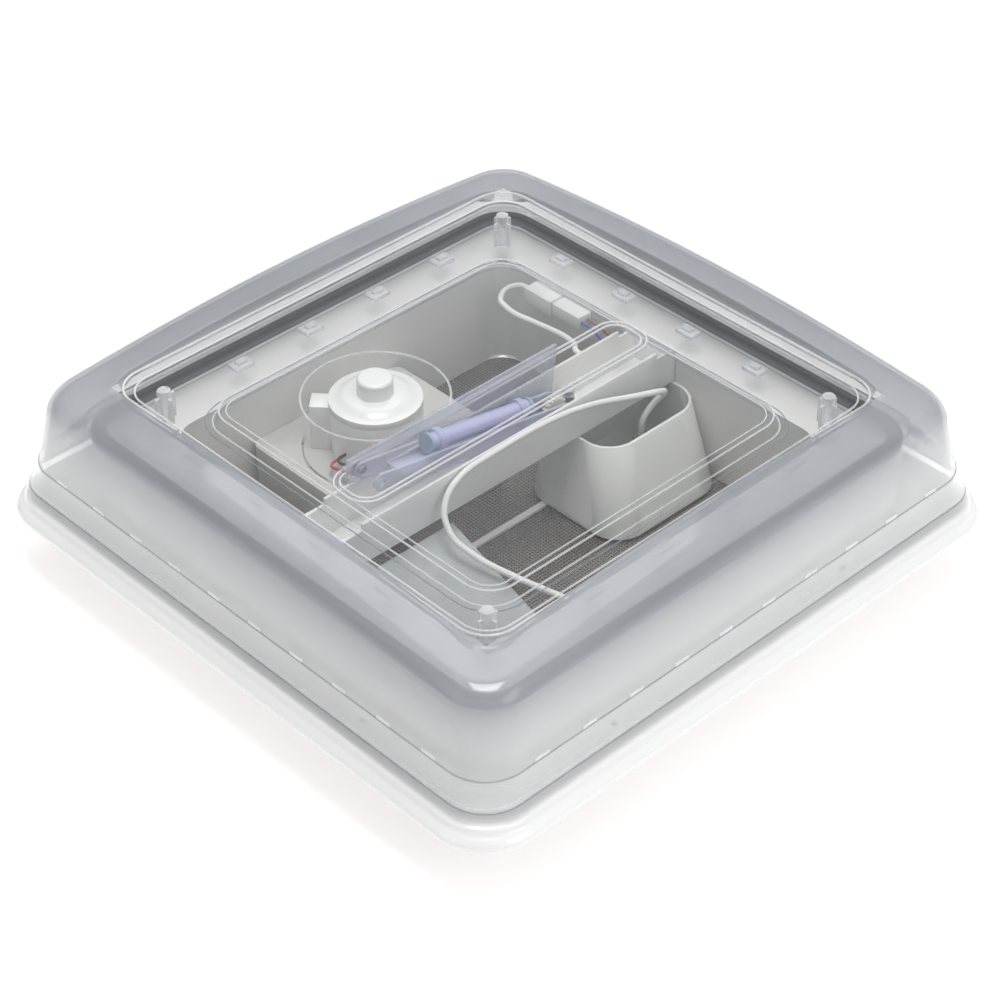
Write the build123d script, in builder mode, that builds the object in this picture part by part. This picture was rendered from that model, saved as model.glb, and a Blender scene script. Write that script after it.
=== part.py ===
from build123d import *
from math import asin, atan2, cos, degrees, hypot, pi, radians, sin, tan
import os

os.makedirs("parts", exist_ok=True)

# Caravan roof vent, millimetres. The origin is the centre of the roof cut-out at the roof's outer skin.
# +Z is out of the roof. The bridge and the lift arm run along Y, and the lid is hinged at +Y.

# Driving sizes of the whole vent
cutout_half = 200.0
cutout_gap = 3.0
spigot_depth = 40.0
flange_width = 50.0
flange_half = cutout_half + flange_width
flange_corner = 41.0
flange_lip = 8.0
flange_top = 16.0
upstand_step = 6.0
upstand_half = cutout_half + upstand_step
upstand_top = 66.0
upstand_corner = 32.0
skirt_inset = 11.2
skirt_half = flange_half - skirt_inset
skirt_lift = 7.7
skirt_low = flange_top + skirt_lift
shell_wall = 3.0
pane_wall = 2.5
liner_half = 159.0
liner_corner = 20.0
liner_wall = 2.5
lid_opening = 50.0

# Fits and overruns
seat_gap = 0.3
running_gap = 0.05
cut = 1.0

# Roof frame
frame_wall = 3.5
lip_round = 3.0
step_inset = 9.0
step_half = flange_half - step_inset
groove_width = 3.5
groove_half = step_half + groove_width
groove_height = 11.0
cavity_inset = 14.0
cavity_outer_half = flange_half - cavity_inset
cavity_wall = 6.0
cavity_inner_half = upstand_half + cavity_wall
cavity_roof = 4.0
cavity_height = flange_top - cavity_roof
boss_radius = 6.5
screw_radius = 2.25
screw_inset = 28.0
screw_reach = flange_half - screw_inset
screw_spread = 110.0
seal_width = 11.0
seal_lip_half = upstand_half - seal_width
seal_lip_thick = 3.0
gasket_thick = 3.0
gasket_inset = 2.5
seal_height = 7.2
seal_bead = 3.0

# Lid
skirt_corner = 31.0
skirt_flare = 5.3
skirt_step_half = skirt_half - skirt_flare
skirt_step_rise = 16.3
skirt_step_height = skirt_low + skirt_step_rise
pane_rim_gap = 4.2
pane_rim_half = skirt_step_half - pane_rim_gap
pane_rim_rise = 5.8
pane_rim_height = skirt_step_height + pane_rim_rise
pane_flat_over = 1.0
pane_flat_half = upstand_half + pane_flat_over
pane_flat_height = upstand_top + seal_height + seat_gap + pane_wall
pane_ridge_half = 144.0
ridge_slope = 4.0
pane_plateau_half = pane_ridge_half - ridge_slope
plateau_rise = 9.0
pane_plateau_height = pane_flat_height + plateau_rise
post_height = 24.5
window_height = pane_flat_height + post_height + shell_wall
window_half = 187.4
window_corner = 25.0
shoulder_inset = 12.8
shoulder_half = skirt_half - shoulder_inset
shoulder_drop = 7.5
shoulder_height = window_height - shoulder_drop
shoulder_round = 16.0
crown_rise = 16.0
crown_height = window_height + crown_rise
crown_radius = 2190.0
pane_corner = 24.0
slot_half_length = 133.0
slot_corner = 12.0
slot_rim = 4.0
slot_rim_height = 3.0
post_reach = 159.4
post_radius = 4.5
post_rib = 8.0
post_rib_thick = 2.0
clip_reach = 172.0
clip_pitch = 64.0
clip_start = -83.0
clip_length = 16.0
clip_width = 11.0
clip_height = 5.0
clip_hook = 3.0

# Hinge on the +Y side
hinge_stand = 20.0
hinge_y = upstand_half + hinge_stand
hinge_z = 36.0
hinge_reach = 120.0
hinge_knuckle = 4.4
hinge_pin_radius = 2.0
hinge_ear = 6.0
hinge_ear_gap = 10.0
hinge_plate = 2.5
hinge_plate_width = 46.0

# Bridge across the opening, a trough that holds the lift arm
bridge_half = 20.0
bridge_low = 42.0
bridge_wall = 2.5
bridge_under_plateau = 7.5
bridge_high = pane_plateau_height - pane_wall - bridge_under_plateau
bridge_end_back = 1.0
bridge_full_half = pane_plateau_half - bridge_end_back
bridge_under_shelf = 3.5
bridge_end_high = pane_flat_height - pane_wall - bridge_under_shelf

# Lift arm, its pivot in the bridge and its slider in the lid's track
pivot_y = 56.0
pivot_z = 58.0
roller_rise = 5.0
roller_z = pane_plateau_height + roller_rise
arm_plate_inner = 8.0
arm_plate_thick = 2.5
arm_hub_radius = 9.0
arm_tip_radius = 6.5
web_thick = 2.5
web_start = 26.0
web_end = 150.0
axle_radius = 4.0
ear_thick = 1.8
ear_width = 14.0
track_outer = 16.0
track_thick = 2.6
track_over = 8.5
track_top = roller_z + track_over
track_under = 8.0
track_low = pivot_z - track_under
track_tip_drop = 10.0
track_tip_low = roller_z - track_tip_drop
track_past = 16.0
track_far = pivot_y + track_past
track_slant = 6.0
track_far_low = track_far - track_slant
track_margin = 9.0
slider_half_height = 4.5
slider_half_length = 8.0
slider_pin_radius = 2.5
slider_boss = 4.2
tube_radius = 6.0
tube_bore = 5.0
tube_start = 30.0
tube_end = 122.0
tube_lift = 10.5
cap_radius = 7.0
cap_thick = 5.0

# Worm drive and crank
gear_module = 1.0
wheel_teeth = 20
wheel_thick = 4.0
worm_pitch_radius = 5.0
worm_low = 48.0
worm_high = 68.0
tooth_share = 0.40
thread_share = 0.34
shaft_radius = 4.0
crank_high = -26.0
crank_thick = 5.0
crank_reach = 45.0
crank_hub = 9.0
crank_width = 12.0
knob_radius = 8.0
knob_height = 6.0
knob_pin_radius = 2.2
knob_round = 1.0
bush_flange = 0.8
bush_radius = 6.5

# Winder well beside the bridge
well_left = 24.0
well_right = 50.0
well_foot_right = 74.0
well_near = 61.0
well_foot_near = 47.0
well_high = 41.0
well_low = -19.5
well_corner = 24.0
well_wall = 2.0
board_thick = 1.6
board_height = 34.0
board_length = 56.0

# Fan, motor and its housing
fan_x = -95.0
fan_y = -26.0
housing_right = -40.0
housing_before = 64.0
housing_near = fan_y - housing_before
housing_behind = 76.0
housing_far = fan_y + housing_behind
housing_low = -19.7
housing_top = 19.0
housing_wall = 2.5
housing_corner = 8.0
housing_slot_height = 16.0
housing_slot_width = 14.0
housing_slot_pitch = 22.0
can_radius = 33.5
can_wall = 2.5
can_top = 56.0
core_radius = 18.0
core_low = 21.5
core_top = 48.0
cap_rim_thick = 5.0
cap_step_radius = 30.0
cap_step_height = 4.0
button_radius = 13.0
motor_top = 78.0
tab_width = 17.0
tab_depth = 13.0
tab_angle = 222.0
foot_radius = 4.0
foot_reach = 38.0
motor_shaft_radius = 1.6
rotor_hub = 14.0
rotor_radius = 46.0
rotor_low = -15.0
rotor_high = 8.0
blade_count = 7
blade_thick = 1.8
blade_tilt = 35.0
collar_radius = 54.0
collar_wall = 1.6
collar_top = 62.0

# Fly screen under the opening
screen_frame_low = -25.5
screen_frame_high = -20.3
screen_thick = 0.6
screen_rib = 5.0
liner_low = -20.0
liner_top = upstand_top - seal_lip_thick - seat_gap
liner_lip = 2.5

# Corner deflector
deflector_thick = 1.4
deflector_start = -60.0
deflector_high = 33.0
deflector_low = -18.0

# Wiring
cable_radius = 2.2
lead_radius = 1.1
plug_length = 56.0
plug_width = 15.0
plug_height = 12.0
plug_step = 1.0
plug_x = -92.0
plug_z = 56.0
bend_share = 0.45


def slab(half_x, half_y, corner, low, high, mode=Mode.ADD):
    """Adds or cuts a centred rounded rectangle between two heights."""
    with BuildSketch(Plane.XY.offset(low)) as outline:
        RectangleRounded(2 * half_x, 2 * half_y, corner)
    extrude(outline.sketch, amount=high - low, mode=mode)


def ring(outer, inner, outer_corner, low, high):
    """Adds a square ring whose inner corner keeps the wall even."""
    with BuildSketch(Plane.XY.offset(low)) as outline:
        RectangleRounded(2 * outer, 2 * outer, outer_corner)
        inner_corner = max(outer_corner - (outer - inner), shell_wall)
        RectangleRounded(2 * inner, 2 * inner, inner_corner, mode=Mode.SUBTRACT)
    extrude(outline.sketch, amount=high - low)


def stepped(sections, mode=Mode.ADD):
    """Joins rounded squares, each (half side, corner, height), with straight walls."""
    for foot, head in zip(sections, sections[1:]):
        with BuildSketch(Plane.XY.offset(foot[2])) as low_outline:
            RectangleRounded(2 * foot[0], 2 * foot[0], foot[1])
        with BuildSketch(Plane.XY.offset(head[2])) as high_outline:
            RectangleRounded(2 * head[0], 2 * head[0], head[1])
        loft([low_outline.sketch, high_outline.sketch], ruled=True, mode=mode)


def disc(radius, low, high, x=0, y=0, mode=Mode.ADD):
    """Adds or cuts an upright cylinder between two heights."""
    with BuildSketch(Plane.XY.offset(low)) as outline:
        with Locations((x, y)):
            Circle(radius)
    extrude(outline.sketch, amount=high - low, mode=mode)


def block(x_pair, y_pair, z_pair, mode=Mode.ADD):
    """Adds or cuts a box given by its two limits along each axis."""
    middle = [(a + b) / 2 for a, b in (x_pair, y_pair, z_pair)]
    sides = [abs(b - a) for a, b in (x_pair, y_pair, z_pair)]
    with Locations(tuple(middle)):
        Box(*sides, mode=mode)


def cross_pin(radius, x_pair, y, z, mode=Mode.ADD):
    """Adds or cuts a cylinder that lies along X."""
    with BuildSketch(Plane.YZ.offset(x_pair[0])) as outline:
        with Locations((y, z)):
            Circle(radius)
    extrude(outline.sketch, amount=x_pair[1] - x_pair[0], mode=mode)


def write(piece, name):
    piece.part.label = name
    export_step(piece.part, "parts/" + name + ".step")


# Roof frame: double-stepped flange, spigot into the cut-out and an upstand round the opening
spigot_half = cutout_half - cutout_gap
spigot_inner = spigot_half - frame_wall
upstand_inner = upstand_half - frame_wall
screw_places = []
for side in (-1, 1):
    for spread in (-screw_spread, screw_spread):
        screw_places += [(side * screw_reach, spread), (spread, side * screw_reach)]
with BuildPart() as roof_frame:
    lip_inner = flange_half - lip_round
    stepped([
        (lip_inner, flange_corner - lip_round, 0),
        (flange_half, flange_corner, lip_round),
        (flange_half, flange_corner, flange_lip - lip_round / 2),
        (lip_inner, flange_corner - lip_round, flange_lip + lip_round / 2),
        (groove_half, flange_corner - lip_round, groove_height),
        (step_half + lip_round / 2, flange_corner - 2 * lip_round, flange_top - lip_round / 2),
        (step_half - lip_round, flange_corner - 3 * lip_round, flange_top),
    ])
    spigot_corner = upstand_corner - (upstand_half - spigot_half)
    slab(upstand_half, upstand_half, upstand_corner, 0, upstand_top)
    slab(spigot_half, spigot_half, spigot_corner, -spigot_depth, 0)
    slab(spigot_inner, spigot_inner, spigot_corner - frame_wall, -spigot_depth - cut, flange_top,
         mode=Mode.SUBTRACT)
    slab(upstand_inner, upstand_inner, upstand_corner - frame_wall, cavity_height,
         upstand_top - seal_lip_thick, mode=Mode.SUBTRACT)
    slab(seal_lip_half, seal_lip_half, upstand_corner - (upstand_half - seal_lip_half),
         upstand_top - seal_lip_thick - cut, upstand_top + cut, mode=Mode.SUBTRACT)
    with BuildSketch(Plane.XY) as cavity:
        cavity_corner = flange_corner - (flange_half - cavity_outer_half)
        RectangleRounded(2 * cavity_outer_half, 2 * cavity_outer_half, cavity_corner)
        RectangleRounded(2 * cavity_inner_half, 2 * cavity_inner_half, cavity_corner, mode=Mode.SUBTRACT)
        with Locations(*screw_places):
            Circle(boss_radius, mode=Mode.SUBTRACT)
    extrude(cavity.sketch, amount=cavity_height, mode=Mode.SUBTRACT)
    with BuildSketch(Plane.XY) as screw_holes:
        with Locations(*screw_places):
            Circle(screw_radius)
    extrude(screw_holes.sketch, amount=flange_top + cut, mode=Mode.SUBTRACT)
write(roof_frame, "roof_frame")

# Foam gasket under the flange
with BuildPart() as roof_gasket:
    with BuildSketch(Plane.XY.offset(-gasket_thick)) as outline:
        gasket_half = flange_half - lip_round - gasket_inset
        RectangleRounded(2 * gasket_half, 2 * gasket_half, flange_corner - lip_round)
        RectangleRounded(2 * cutout_half, 2 * cutout_half, spigot_corner, mode=Mode.SUBTRACT)
        with Locations(*screw_places):
            Circle(screw_radius + seat_gap, mode=Mode.SUBTRACT)
    extrude(outline.sketch, amount=gasket_thick)
write(roof_gasket, "roof_gasket")

# Rubber seal on the upstand, with a raised bead that the lid's pane meets
seal_outer = upstand_half - seat_gap
with BuildPart() as frame_seal:
    seal_corner = upstand_corner - seat_gap
    bead_low = upstand_top + seal_height - seal_bead
    ring(seal_outer, seal_lip_half + seat_gap, seal_corner, upstand_top, bead_low)
    bead_inset = (seal_outer - seal_lip_half) / 3
    ring(seal_outer - bead_inset, seal_outer - 2 * bead_inset, seal_corner - bead_inset,
         bead_low, upstand_top + seal_height)
write(frame_seal, "frame_seal")

# Liner: upright walls round the opening, with a shelf at the top and a foot flange
liner_outer = liner_half + liner_wall
with BuildPart() as inner_liner:
    shelf_half = upstand_inner - seat_gap
    shelf_corner = upstand_corner - frame_wall - seat_gap
    ring(liner_outer, liner_half, liner_corner + liner_wall, liner_low, liner_top)
    ring(shelf_half, liner_half, shelf_corner, liner_top - liner_lip, liner_top)
    ring(spigot_inner - seat_gap, liner_half, spigot_corner - frame_wall - seat_gap,
         liner_low, liner_low + liner_lip)
write(inner_liner, "inner_liner")

# Fly screen and its frame, which closes the bottom of the opening
wheel_radius = gear_module * wheel_teeth / 2
worm_y = pivot_y + wheel_radius + worm_pitch_radius
with BuildPart() as screen_frame:
    frame_corner = spigot_corner - frame_wall - seat_gap
    ring(spigot_inner - seat_gap, liner_half, frame_corner, screen_frame_low, screen_frame_high)
    rib_end = liner_half + screen_rib / 2
    rib_low = screen_frame_high - (screen_frame_high - screen_frame_low) / 2 + screen_thick
    block((-screen_rib / 2, screen_rib / 2), (-rib_end, rib_end), (rib_low, screen_frame_high))
    disc(bush_radius + screen_rib, rib_low, screen_frame_high, y=worm_y)
    disc(bush_radius + seat_gap, rib_low - cut, screen_frame_high + cut, y=worm_y, mode=Mode.SUBTRACT)
write(screen_frame, "screen_frame")

screen_high = rib_low - running_gap
with BuildPart() as insect_screen:
    screen_half = liner_half - seat_gap
    slab(screen_half, screen_half, liner_corner - seat_gap, screen_high - screen_thick, screen_high)
    disc(bush_radius + seat_gap, screen_high - screen_thick - cut, screen_high + cut, y=worm_y,
         mode=Mode.SUBTRACT)
write(insect_screen, "insect_screen")

# Bridge: an open trough along Y that carries the arm's bearings and the worm
bridge_end = liner_half - seat_gap
trough_floor = bridge_low + bridge_wall
trough_inner = bridge_half - bridge_wall
ear_inner = arm_plate_inner + arm_plate_thick + 2 * seat_gap
axle_end = ear_inner + ear_thick
with BuildPart() as bridge_beam:
    block((-bridge_half, bridge_half), (-bridge_end, bridge_end), (bridge_low, bridge_end_high))
    block((-bridge_half, bridge_half), (-bridge_full_half, bridge_full_half), (bridge_low, bridge_high))
    block((-trough_inner, trough_inner), (-bridge_end + bridge_wall, bridge_end - bridge_wall),
          (trough_floor, bridge_high + cut), mode=Mode.SUBTRACT)
    with BuildSketch(Plane.YZ.offset(ear_inner)) as ear:
        with Locations((pivot_y, (trough_floor + pivot_z) / 2)):
            Rectangle(ear_width, pivot_z - trough_floor)
        with Locations((pivot_y, pivot_z)):
            Circle(ear_width / 2)
            Circle(axle_radius + running_gap, mode=Mode.SUBTRACT)
    extrude(ear.sketch, amount=ear_thick)
    mirror(about=Plane.YZ)
    disc(bush_radius + running_gap, bridge_low - cut, trough_floor + cut, y=worm_y, mode=Mode.SUBTRACT)
write(bridge_beam, "bridge_beam")

# Flanged bush in the trough's floor that carries the worm shaft
with BuildPart() as worm_bush:
    disc(bush_radius, bridge_low, trough_floor, y=worm_y)
    disc(bush_radius + bush_flange, bridge_low - bush_flange, bridge_low, y=worm_y)
    disc(shaft_radius + running_gap, bridge_low - bush_flange - cut, trough_floor + cut, y=worm_y,
         mode=Mode.SUBTRACT)
write(worm_bush, "worm_bush")

# Lower bush of the worm shaft, held in the screen frame's rib
with BuildPart() as screen_bush:
    disc(bush_radius, screen_high - screen_thick, screen_frame_high, y=worm_y)
    disc(shaft_radius + running_gap, screen_high - screen_thick - cut, screen_frame_high + cut,
         y=worm_y, mode=Mode.SUBTRACT)
write(screen_bush, "screen_bush")


def well_form(inset, low, high):
    """Lofts the winder well's tapered outline, drawn in by a wall thickness, between two heights."""
    rise = (low - well_low) / (well_high - well_low), (high - well_low) / (well_high - well_low)
    faces = []
    for height, share in zip((low, high), rise):
        right = well_foot_right + (well_right - well_foot_right) * share - inset
        near = well_foot_near + (well_near - well_foot_near) * share + inset
        left, far = -well_left + inset, liner_half - seat_gap - inset
        with BuildSketch(Plane.XY.offset(height)) as outline:
            with Locations(((left + right) / 2, (near + far) / 2)):
                RectangleRounded(right - left, far - near, well_corner - inset)
        faces.append(outline.sketch)
    return faces


# Winder well: an open-topped pocket with leaning walls, beside and under the bridge
with BuildPart() as winder_well:
    loft(well_form(0, well_low, well_high), ruled=True)
    loft(well_form(well_wall, well_low + well_wall, well_high + cut), ruled=True, mode=Mode.SUBTRACT)
    disc(bush_radius + seat_gap, well_low - cut, well_low + well_wall + cut, y=worm_y, mode=Mode.SUBTRACT)
write(winder_well, "winder_well")

# Control board that stands in the well, with two terminal blocks
board_x = (shaft_radius + well_right) / 2
board_far = liner_half - well_corner
board_low = well_low + well_wall + seat_gap
with BuildPart() as control_board:
    block((board_x, board_x + board_thick), (board_far - board_length, board_far),
          (board_low, board_low + board_height))
    for row in (1, 3):
        low_y = board_far - board_length * row / 4
        block((board_x - plug_height / 2, board_x), (low_y - plug_height / 2, low_y + plug_height / 2),
              (board_low + board_height - plug_width, board_low + board_height - board_thick))
write(control_board, "control_board")

# Fan housing: a tray with a flat top, open underneath, with outlet slots along its sides
housing_left = -liner_half + seat_gap
with BuildPart() as fan_housing:
    housing_x = (housing_left + housing_right) / 2
    housing_y = (housing_near + housing_far) / 2
    housing_size_x, housing_size_y = housing_right - housing_left, housing_far - housing_near
    with BuildSketch(Plane.XY.offset(housing_low)) as outer:
        with Locations((housing_x, housing_y)):
            RectangleRounded(housing_size_x, housing_size_y, housing_corner)
    extrude(outer.sketch, amount=housing_top - housing_low)
    with BuildSketch(Plane.XY.offset(housing_low - cut)) as inner:
        with Locations((housing_x, housing_y)):
            RectangleRounded(housing_size_x - 2 * housing_wall, housing_size_y - 2 * housing_wall,
                             housing_corner - housing_wall)
    extrude(inner.sketch, amount=housing_top - housing_wall - housing_low + cut, mode=Mode.SUBTRACT)
    slot_low = (housing_low + housing_top - housing_slot_height) / 2
    slot_span = housing_size_y / 2 - housing_corner - housing_slot_width / 2
    slot_count = int(2 * slot_span / housing_slot_pitch) + 1
    for index in range(slot_count):
        middle = housing_y + (index - (slot_count - 1) / 2) * housing_slot_pitch
        block((housing_right - housing_wall - cut, housing_right + cut),
              (middle - housing_slot_width / 2, middle + housing_slot_width / 2),
              (slot_low, slot_low + housing_slot_height), mode=Mode.SUBTRACT)
    disc(motor_shaft_radius + 2 * seat_gap, housing_top - housing_wall - cut, housing_top + cut,
         x=fan_x, y=fan_y, mode=Mode.SUBTRACT)
write(fan_housing, "fan_housing")

# Motor: white can with a square lug and two feet, the core inside and the stepped cap on top
with BuildPart() as motor_can:
    disc(can_radius, housing_top, can_top, x=fan_x, y=fan_y)
    with BuildSketch(Plane.XY.offset(housing_top)) as lug:
        with Locations(Location((fan_x, fan_y, 0), (0, 0, tab_angle))):
            with Locations((can_radius, 0)):
                Rectangle(2 * tab_depth, tab_width)
    extrude(lug.sketch, amount=can_top - housing_top)
    disc(can_radius - can_wall, housing_top + can_wall, can_top + cut, x=fan_x, y=fan_y, mode=Mode.SUBTRACT)
    disc(motor_shaft_radius + 2 * seat_gap, housing_top - cut, housing_top + can_wall + cut,
         x=fan_x, y=fan_y, mode=Mode.SUBTRACT)
write(motor_can, "motor_can")

with BuildPart() as motor_core:
    disc(core_radius, core_low, core_top, x=fan_x, y=fan_y)
    disc(core_radius * 2 / 3, core_top, core_top + can_wall, x=fan_x, y=fan_y)
    disc(motor_shaft_radius + running_gap, core_low - cut, core_top - can_wall, x=fan_x, y=fan_y,
         mode=Mode.SUBTRACT)
write(motor_core, "motor_core")

with BuildPart() as motor_cap:
    cap_rim_top = can_top + cap_rim_thick
    cap_step_top = cap_rim_top + cap_step_height
    disc(can_radius, can_top, cap_rim_top, x=fan_x, y=fan_y)
    with BuildSketch(Plane.XY.offset(cap_rim_top)) as step_foot:
        with Locations((fan_x, fan_y)):
            Circle(cap_step_radius)
    with BuildSketch(Plane.XY.offset(cap_step_top)) as step_head:
        with Locations((fan_x, fan_y)):
            Circle((cap_step_radius + button_radius) / 2)
    loft([step_foot.sketch, step_head.sketch], ruled=True)
    disc(button_radius, cap_step_top, motor_top, x=fan_x, y=fan_y)
    crest = motor_cap.faces().sort_by(Axis.Z)[-1].edges()
    fillet(crest, radius=cap_rim_thick / 2)
    disc(can_radius - can_wall, can_top - cut, can_top + can_wall, x=fan_x, y=fan_y, mode=Mode.SUBTRACT)
write(motor_cap, "motor_cap")

# Two screws that hold the motor's feet to the housing
with BuildPart() as motor_feet:
    for angle in (tab_angle - 120, tab_angle + 120):
        foot_x = fan_x + foot_reach * cos(radians(angle))
        foot_y = fan_y + foot_reach * sin(radians(angle))
        disc(foot_radius, housing_top, housing_top + foot_radius, x=foot_x, y=foot_y)
        disc(foot_radius * 2 / 3, housing_top + foot_radius, housing_top + 2 * foot_radius,
             x=foot_x, y=foot_y)
write(motor_feet, "motor_feet")

# Clear splash collar round the motor
with BuildPart() as splash_collar:
    disc(collar_radius, housing_top, collar_top, x=fan_x, y=fan_y)
    disc(collar_radius - collar_wall, housing_top - cut, collar_top + cut, x=fan_x, y=fan_y,
         mode=Mode.SUBTRACT)
    notch_x, notch_y = fan_x + collar_radius * 2 / 3, fan_y - collar_radius * 3 / 4
    notch_half = collar_radius / 4
    block((notch_x - notch_half, notch_x + notch_half), (notch_y - notch_half, notch_y + notch_half),
          (housing_top - cut, (housing_top + collar_top) / 2), mode=Mode.SUBTRACT)
write(splash_collar, "splash_collar")

# Fan rotor and the motor's shaft, which turn together
with BuildPart() as motor_shaft:
    disc(motor_shaft_radius, rotor_low + can_wall, core_top - 2 * can_wall, x=fan_x, y=fan_y)
write(motor_shaft, "motor_shaft")

with BuildPart() as fan_rotor:
    disc(rotor_hub, rotor_low, rotor_high, x=fan_x, y=fan_y)
    for index in range(blade_count):
        turn = 360 * index / blade_count
        blade_plane = Plane(origin=(fan_x, fan_y, (rotor_low + rotor_high) / 2),
                            x_dir=(cos(radians(turn)), sin(radians(turn)), 0),
                            z_dir=(sin(radians(turn)) * sin(radians(blade_tilt)),
                                   -cos(radians(turn)) * sin(radians(blade_tilt)),
                                   cos(radians(blade_tilt))))
        blade_span = rotor_radius - rotor_hub * 2 / 3
        with BuildSketch(blade_plane) as blade:
            with Locations((rotor_hub * 2 / 3 + blade_span / 2, 0)):
                RectangleRounded(blade_span, rotor_hub * 2, rotor_hub / 2)
        extrude(blade.sketch, amount=blade_thick / 2, both=True)
    disc(motor_shaft_radius, rotor_low + can_wall, rotor_high + cut, x=fan_x, y=fan_y, mode=Mode.SUBTRACT)
write(fan_rotor, "fan_rotor")

# Lid dome: tapered walls under a crowned top, with a flat window sunk into it
skirt_lean = (skirt_step_half - shoulder_half) / (shoulder_height - skirt_step_height)
crown_clear = crown_height + shell_wall
top_half = shoulder_half - skirt_lean * (crown_clear - shoulder_height)


def dome_solid(inset):
    """Makes the dome's outline, drawn in by a wall thickness, as one closed form."""
    with BuildPart() as form:
        low = skirt_low - (cut if inset else 0)
        stepped([
            (skirt_half - inset, skirt_corner - inset, low),
            (skirt_step_half - inset, skirt_corner - inset, skirt_step_height),
            (top_half - inset, skirt_corner - inset, crown_clear),
        ])
        with Locations((0, 0, crown_height - crown_radius)):
            Sphere(crown_radius - inset, rotation=(0, 90, 0), mode=Mode.INTERSECT)
        crest_edges = form.faces().sort_by(Axis.Z)[-1].outer_wire().edges()
        fillet(crest_edges, radius=shoulder_round - inset)
        slab(window_half + inset, window_half + inset, window_corner + inset,
             window_height - inset, crown_clear, mode=Mode.SUBTRACT)
    return form.part


with BuildPart() as lid_dome:
    add(dome_solid(0))
    add(dome_solid(shell_wall), mode=Mode.SUBTRACT)
write(lid_dome, "lid_dome")

# Inner pane: sloped skirt over the seal, a flat shelf, and a raised plateau with the arm's slot
slot_inner = track_outer + seat_gap
slot_outer = slot_inner + slot_rim
rim_top = pane_plateau_height + slot_rim_height
with BuildPart() as inner_pane:
    plateau_corner = pane_corner - pane_wall
    stepped([(pane_rim_half, skirt_corner, pane_rim_height), (pane_flat_half, pane_corner, pane_flat_height)])
    stepped([(pane_ridge_half, pane_corner, pane_flat_height),
             (pane_plateau_half, plateau_corner, pane_plateau_height)])
    slab(slot_outer, slot_half_length + slot_rim, slot_corner + slot_rim, pane_flat_height, rim_top)
    under_flat = pane_flat_height - pane_wall
    stepped([(pane_rim_half - pane_wall, skirt_corner - pane_wall, pane_rim_height - seat_gap),
             (pane_flat_half - pane_wall, pane_corner - pane_wall, under_flat)], mode=Mode.SUBTRACT)
    stepped([(pane_ridge_half - pane_wall, pane_corner - pane_wall, under_flat - seat_gap),
             (pane_plateau_half - pane_wall, plateau_corner - pane_wall, pane_plateau_height - pane_wall)],
            mode=Mode.SUBTRACT)
    slab(slot_inner, slot_half_length, slot_corner, pane_flat_height - cut, rim_top + cut, mode=Mode.SUBTRACT)
write(inner_pane, "inner_pane")

# Four ribbed posts that join the pane to the window
window_under = pane_flat_height + post_height
with BuildPart() as corner_posts:
    for post_x in (-post_reach, post_reach):
        for post_y in (-post_reach, post_reach):
            disc(post_radius, pane_flat_height, window_under, x=post_x, y=post_y)
            for half_x, half_y in ((post_rib, post_rib_thick / 2), (post_rib_thick / 2, post_rib)):
                block((post_x - half_x, post_x + half_x), (post_y - half_y, post_y + half_y),
                      (pane_flat_height, window_under - clip_height))
write(corner_posts, "corner_posts")

# Snap clips along the four sides of the pane's shelf
clip_places = [clip_start + clip_pitch * index for index in range(4)]
with BuildPart() as pane_clips:
    for side in (-1, 1):
        for place in clip_places:
            for centre, half_x, half_y in (
                ((side * clip_reach, place), clip_width / 2, clip_length / 2),
                ((-place, side * clip_reach), clip_length / 2, clip_width / 2),
            ):
                hook_top = pane_flat_height + clip_hook
                block((centre[0] - half_x, centre[0] + half_x), (centre[1] - half_y, centre[1] + half_y),
                      (pane_flat_height, hook_top))
                block((centre[0] - half_x / 2, centre[0] + half_x / 2),
                      (centre[1] - half_y / 2, centre[1] + half_y / 2),
                      (hook_top, pane_flat_height + clip_height))
write(pane_clips, "pane_clips")

# Hinges: a bracket on the upstand, a leaf inside the lid's rear wall and a pin, twice
ear_half = hinge_ear_gap / 2
knuckle_start = ear_half + 2 * seat_gap
knuckle_end = knuckle_start + hinge_ear
leaf_far = hinge_y + hinge_knuckle - 2 * seat_gap
leaf_top = hinge_z + 2 * hinge_knuckle - 3 * seat_gap
with BuildPart() as hinge_brackets:
    for centre in (-hinge_reach, hinge_reach):
        block((centre - hinge_plate_width / 2, centre + hinge_plate_width / 2),
              (upstand_half, upstand_half + hinge_plate),
              (hinge_z - 2 * hinge_knuckle, hinge_z + hinge_knuckle))
        block((centre - ear_half, centre + ear_half), (upstand_half, hinge_y),
              (hinge_z - hinge_knuckle, hinge_z + hinge_knuckle))
        cross_pin(hinge_knuckle, (centre - ear_half, centre + ear_half), hinge_y, hinge_z)
        cross_pin(hinge_pin_radius + running_gap, (centre - ear_half - cut, centre + ear_half + cut),
                  hinge_y, hinge_z, mode=Mode.SUBTRACT)
write(hinge_brackets, "hinge_brackets")

with BuildPart() as hinge_leaves:
    for centre in (-hinge_reach, hinge_reach):
        block((centre - hinge_plate_width / 2, centre + hinge_plate_width / 2),
              (leaf_far - hinge_plate, leaf_far), (hinge_z + hinge_knuckle + 2 * seat_gap, leaf_top))
        for side in (-1, 1):
            near, far = centre + side * knuckle_start, centre + side * knuckle_end
            pair = (min(near, far), max(near, far))
            cross_pin(hinge_knuckle, pair, hinge_y, hinge_z)
            block(pair, (hinge_y, leaf_far), (hinge_z, leaf_top))
            cross_pin(hinge_pin_radius, (pair[0] - cut, pair[1] + cut), hinge_y, hinge_z, mode=Mode.SUBTRACT)
write(hinge_leaves, "hinge_leaves")

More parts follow.
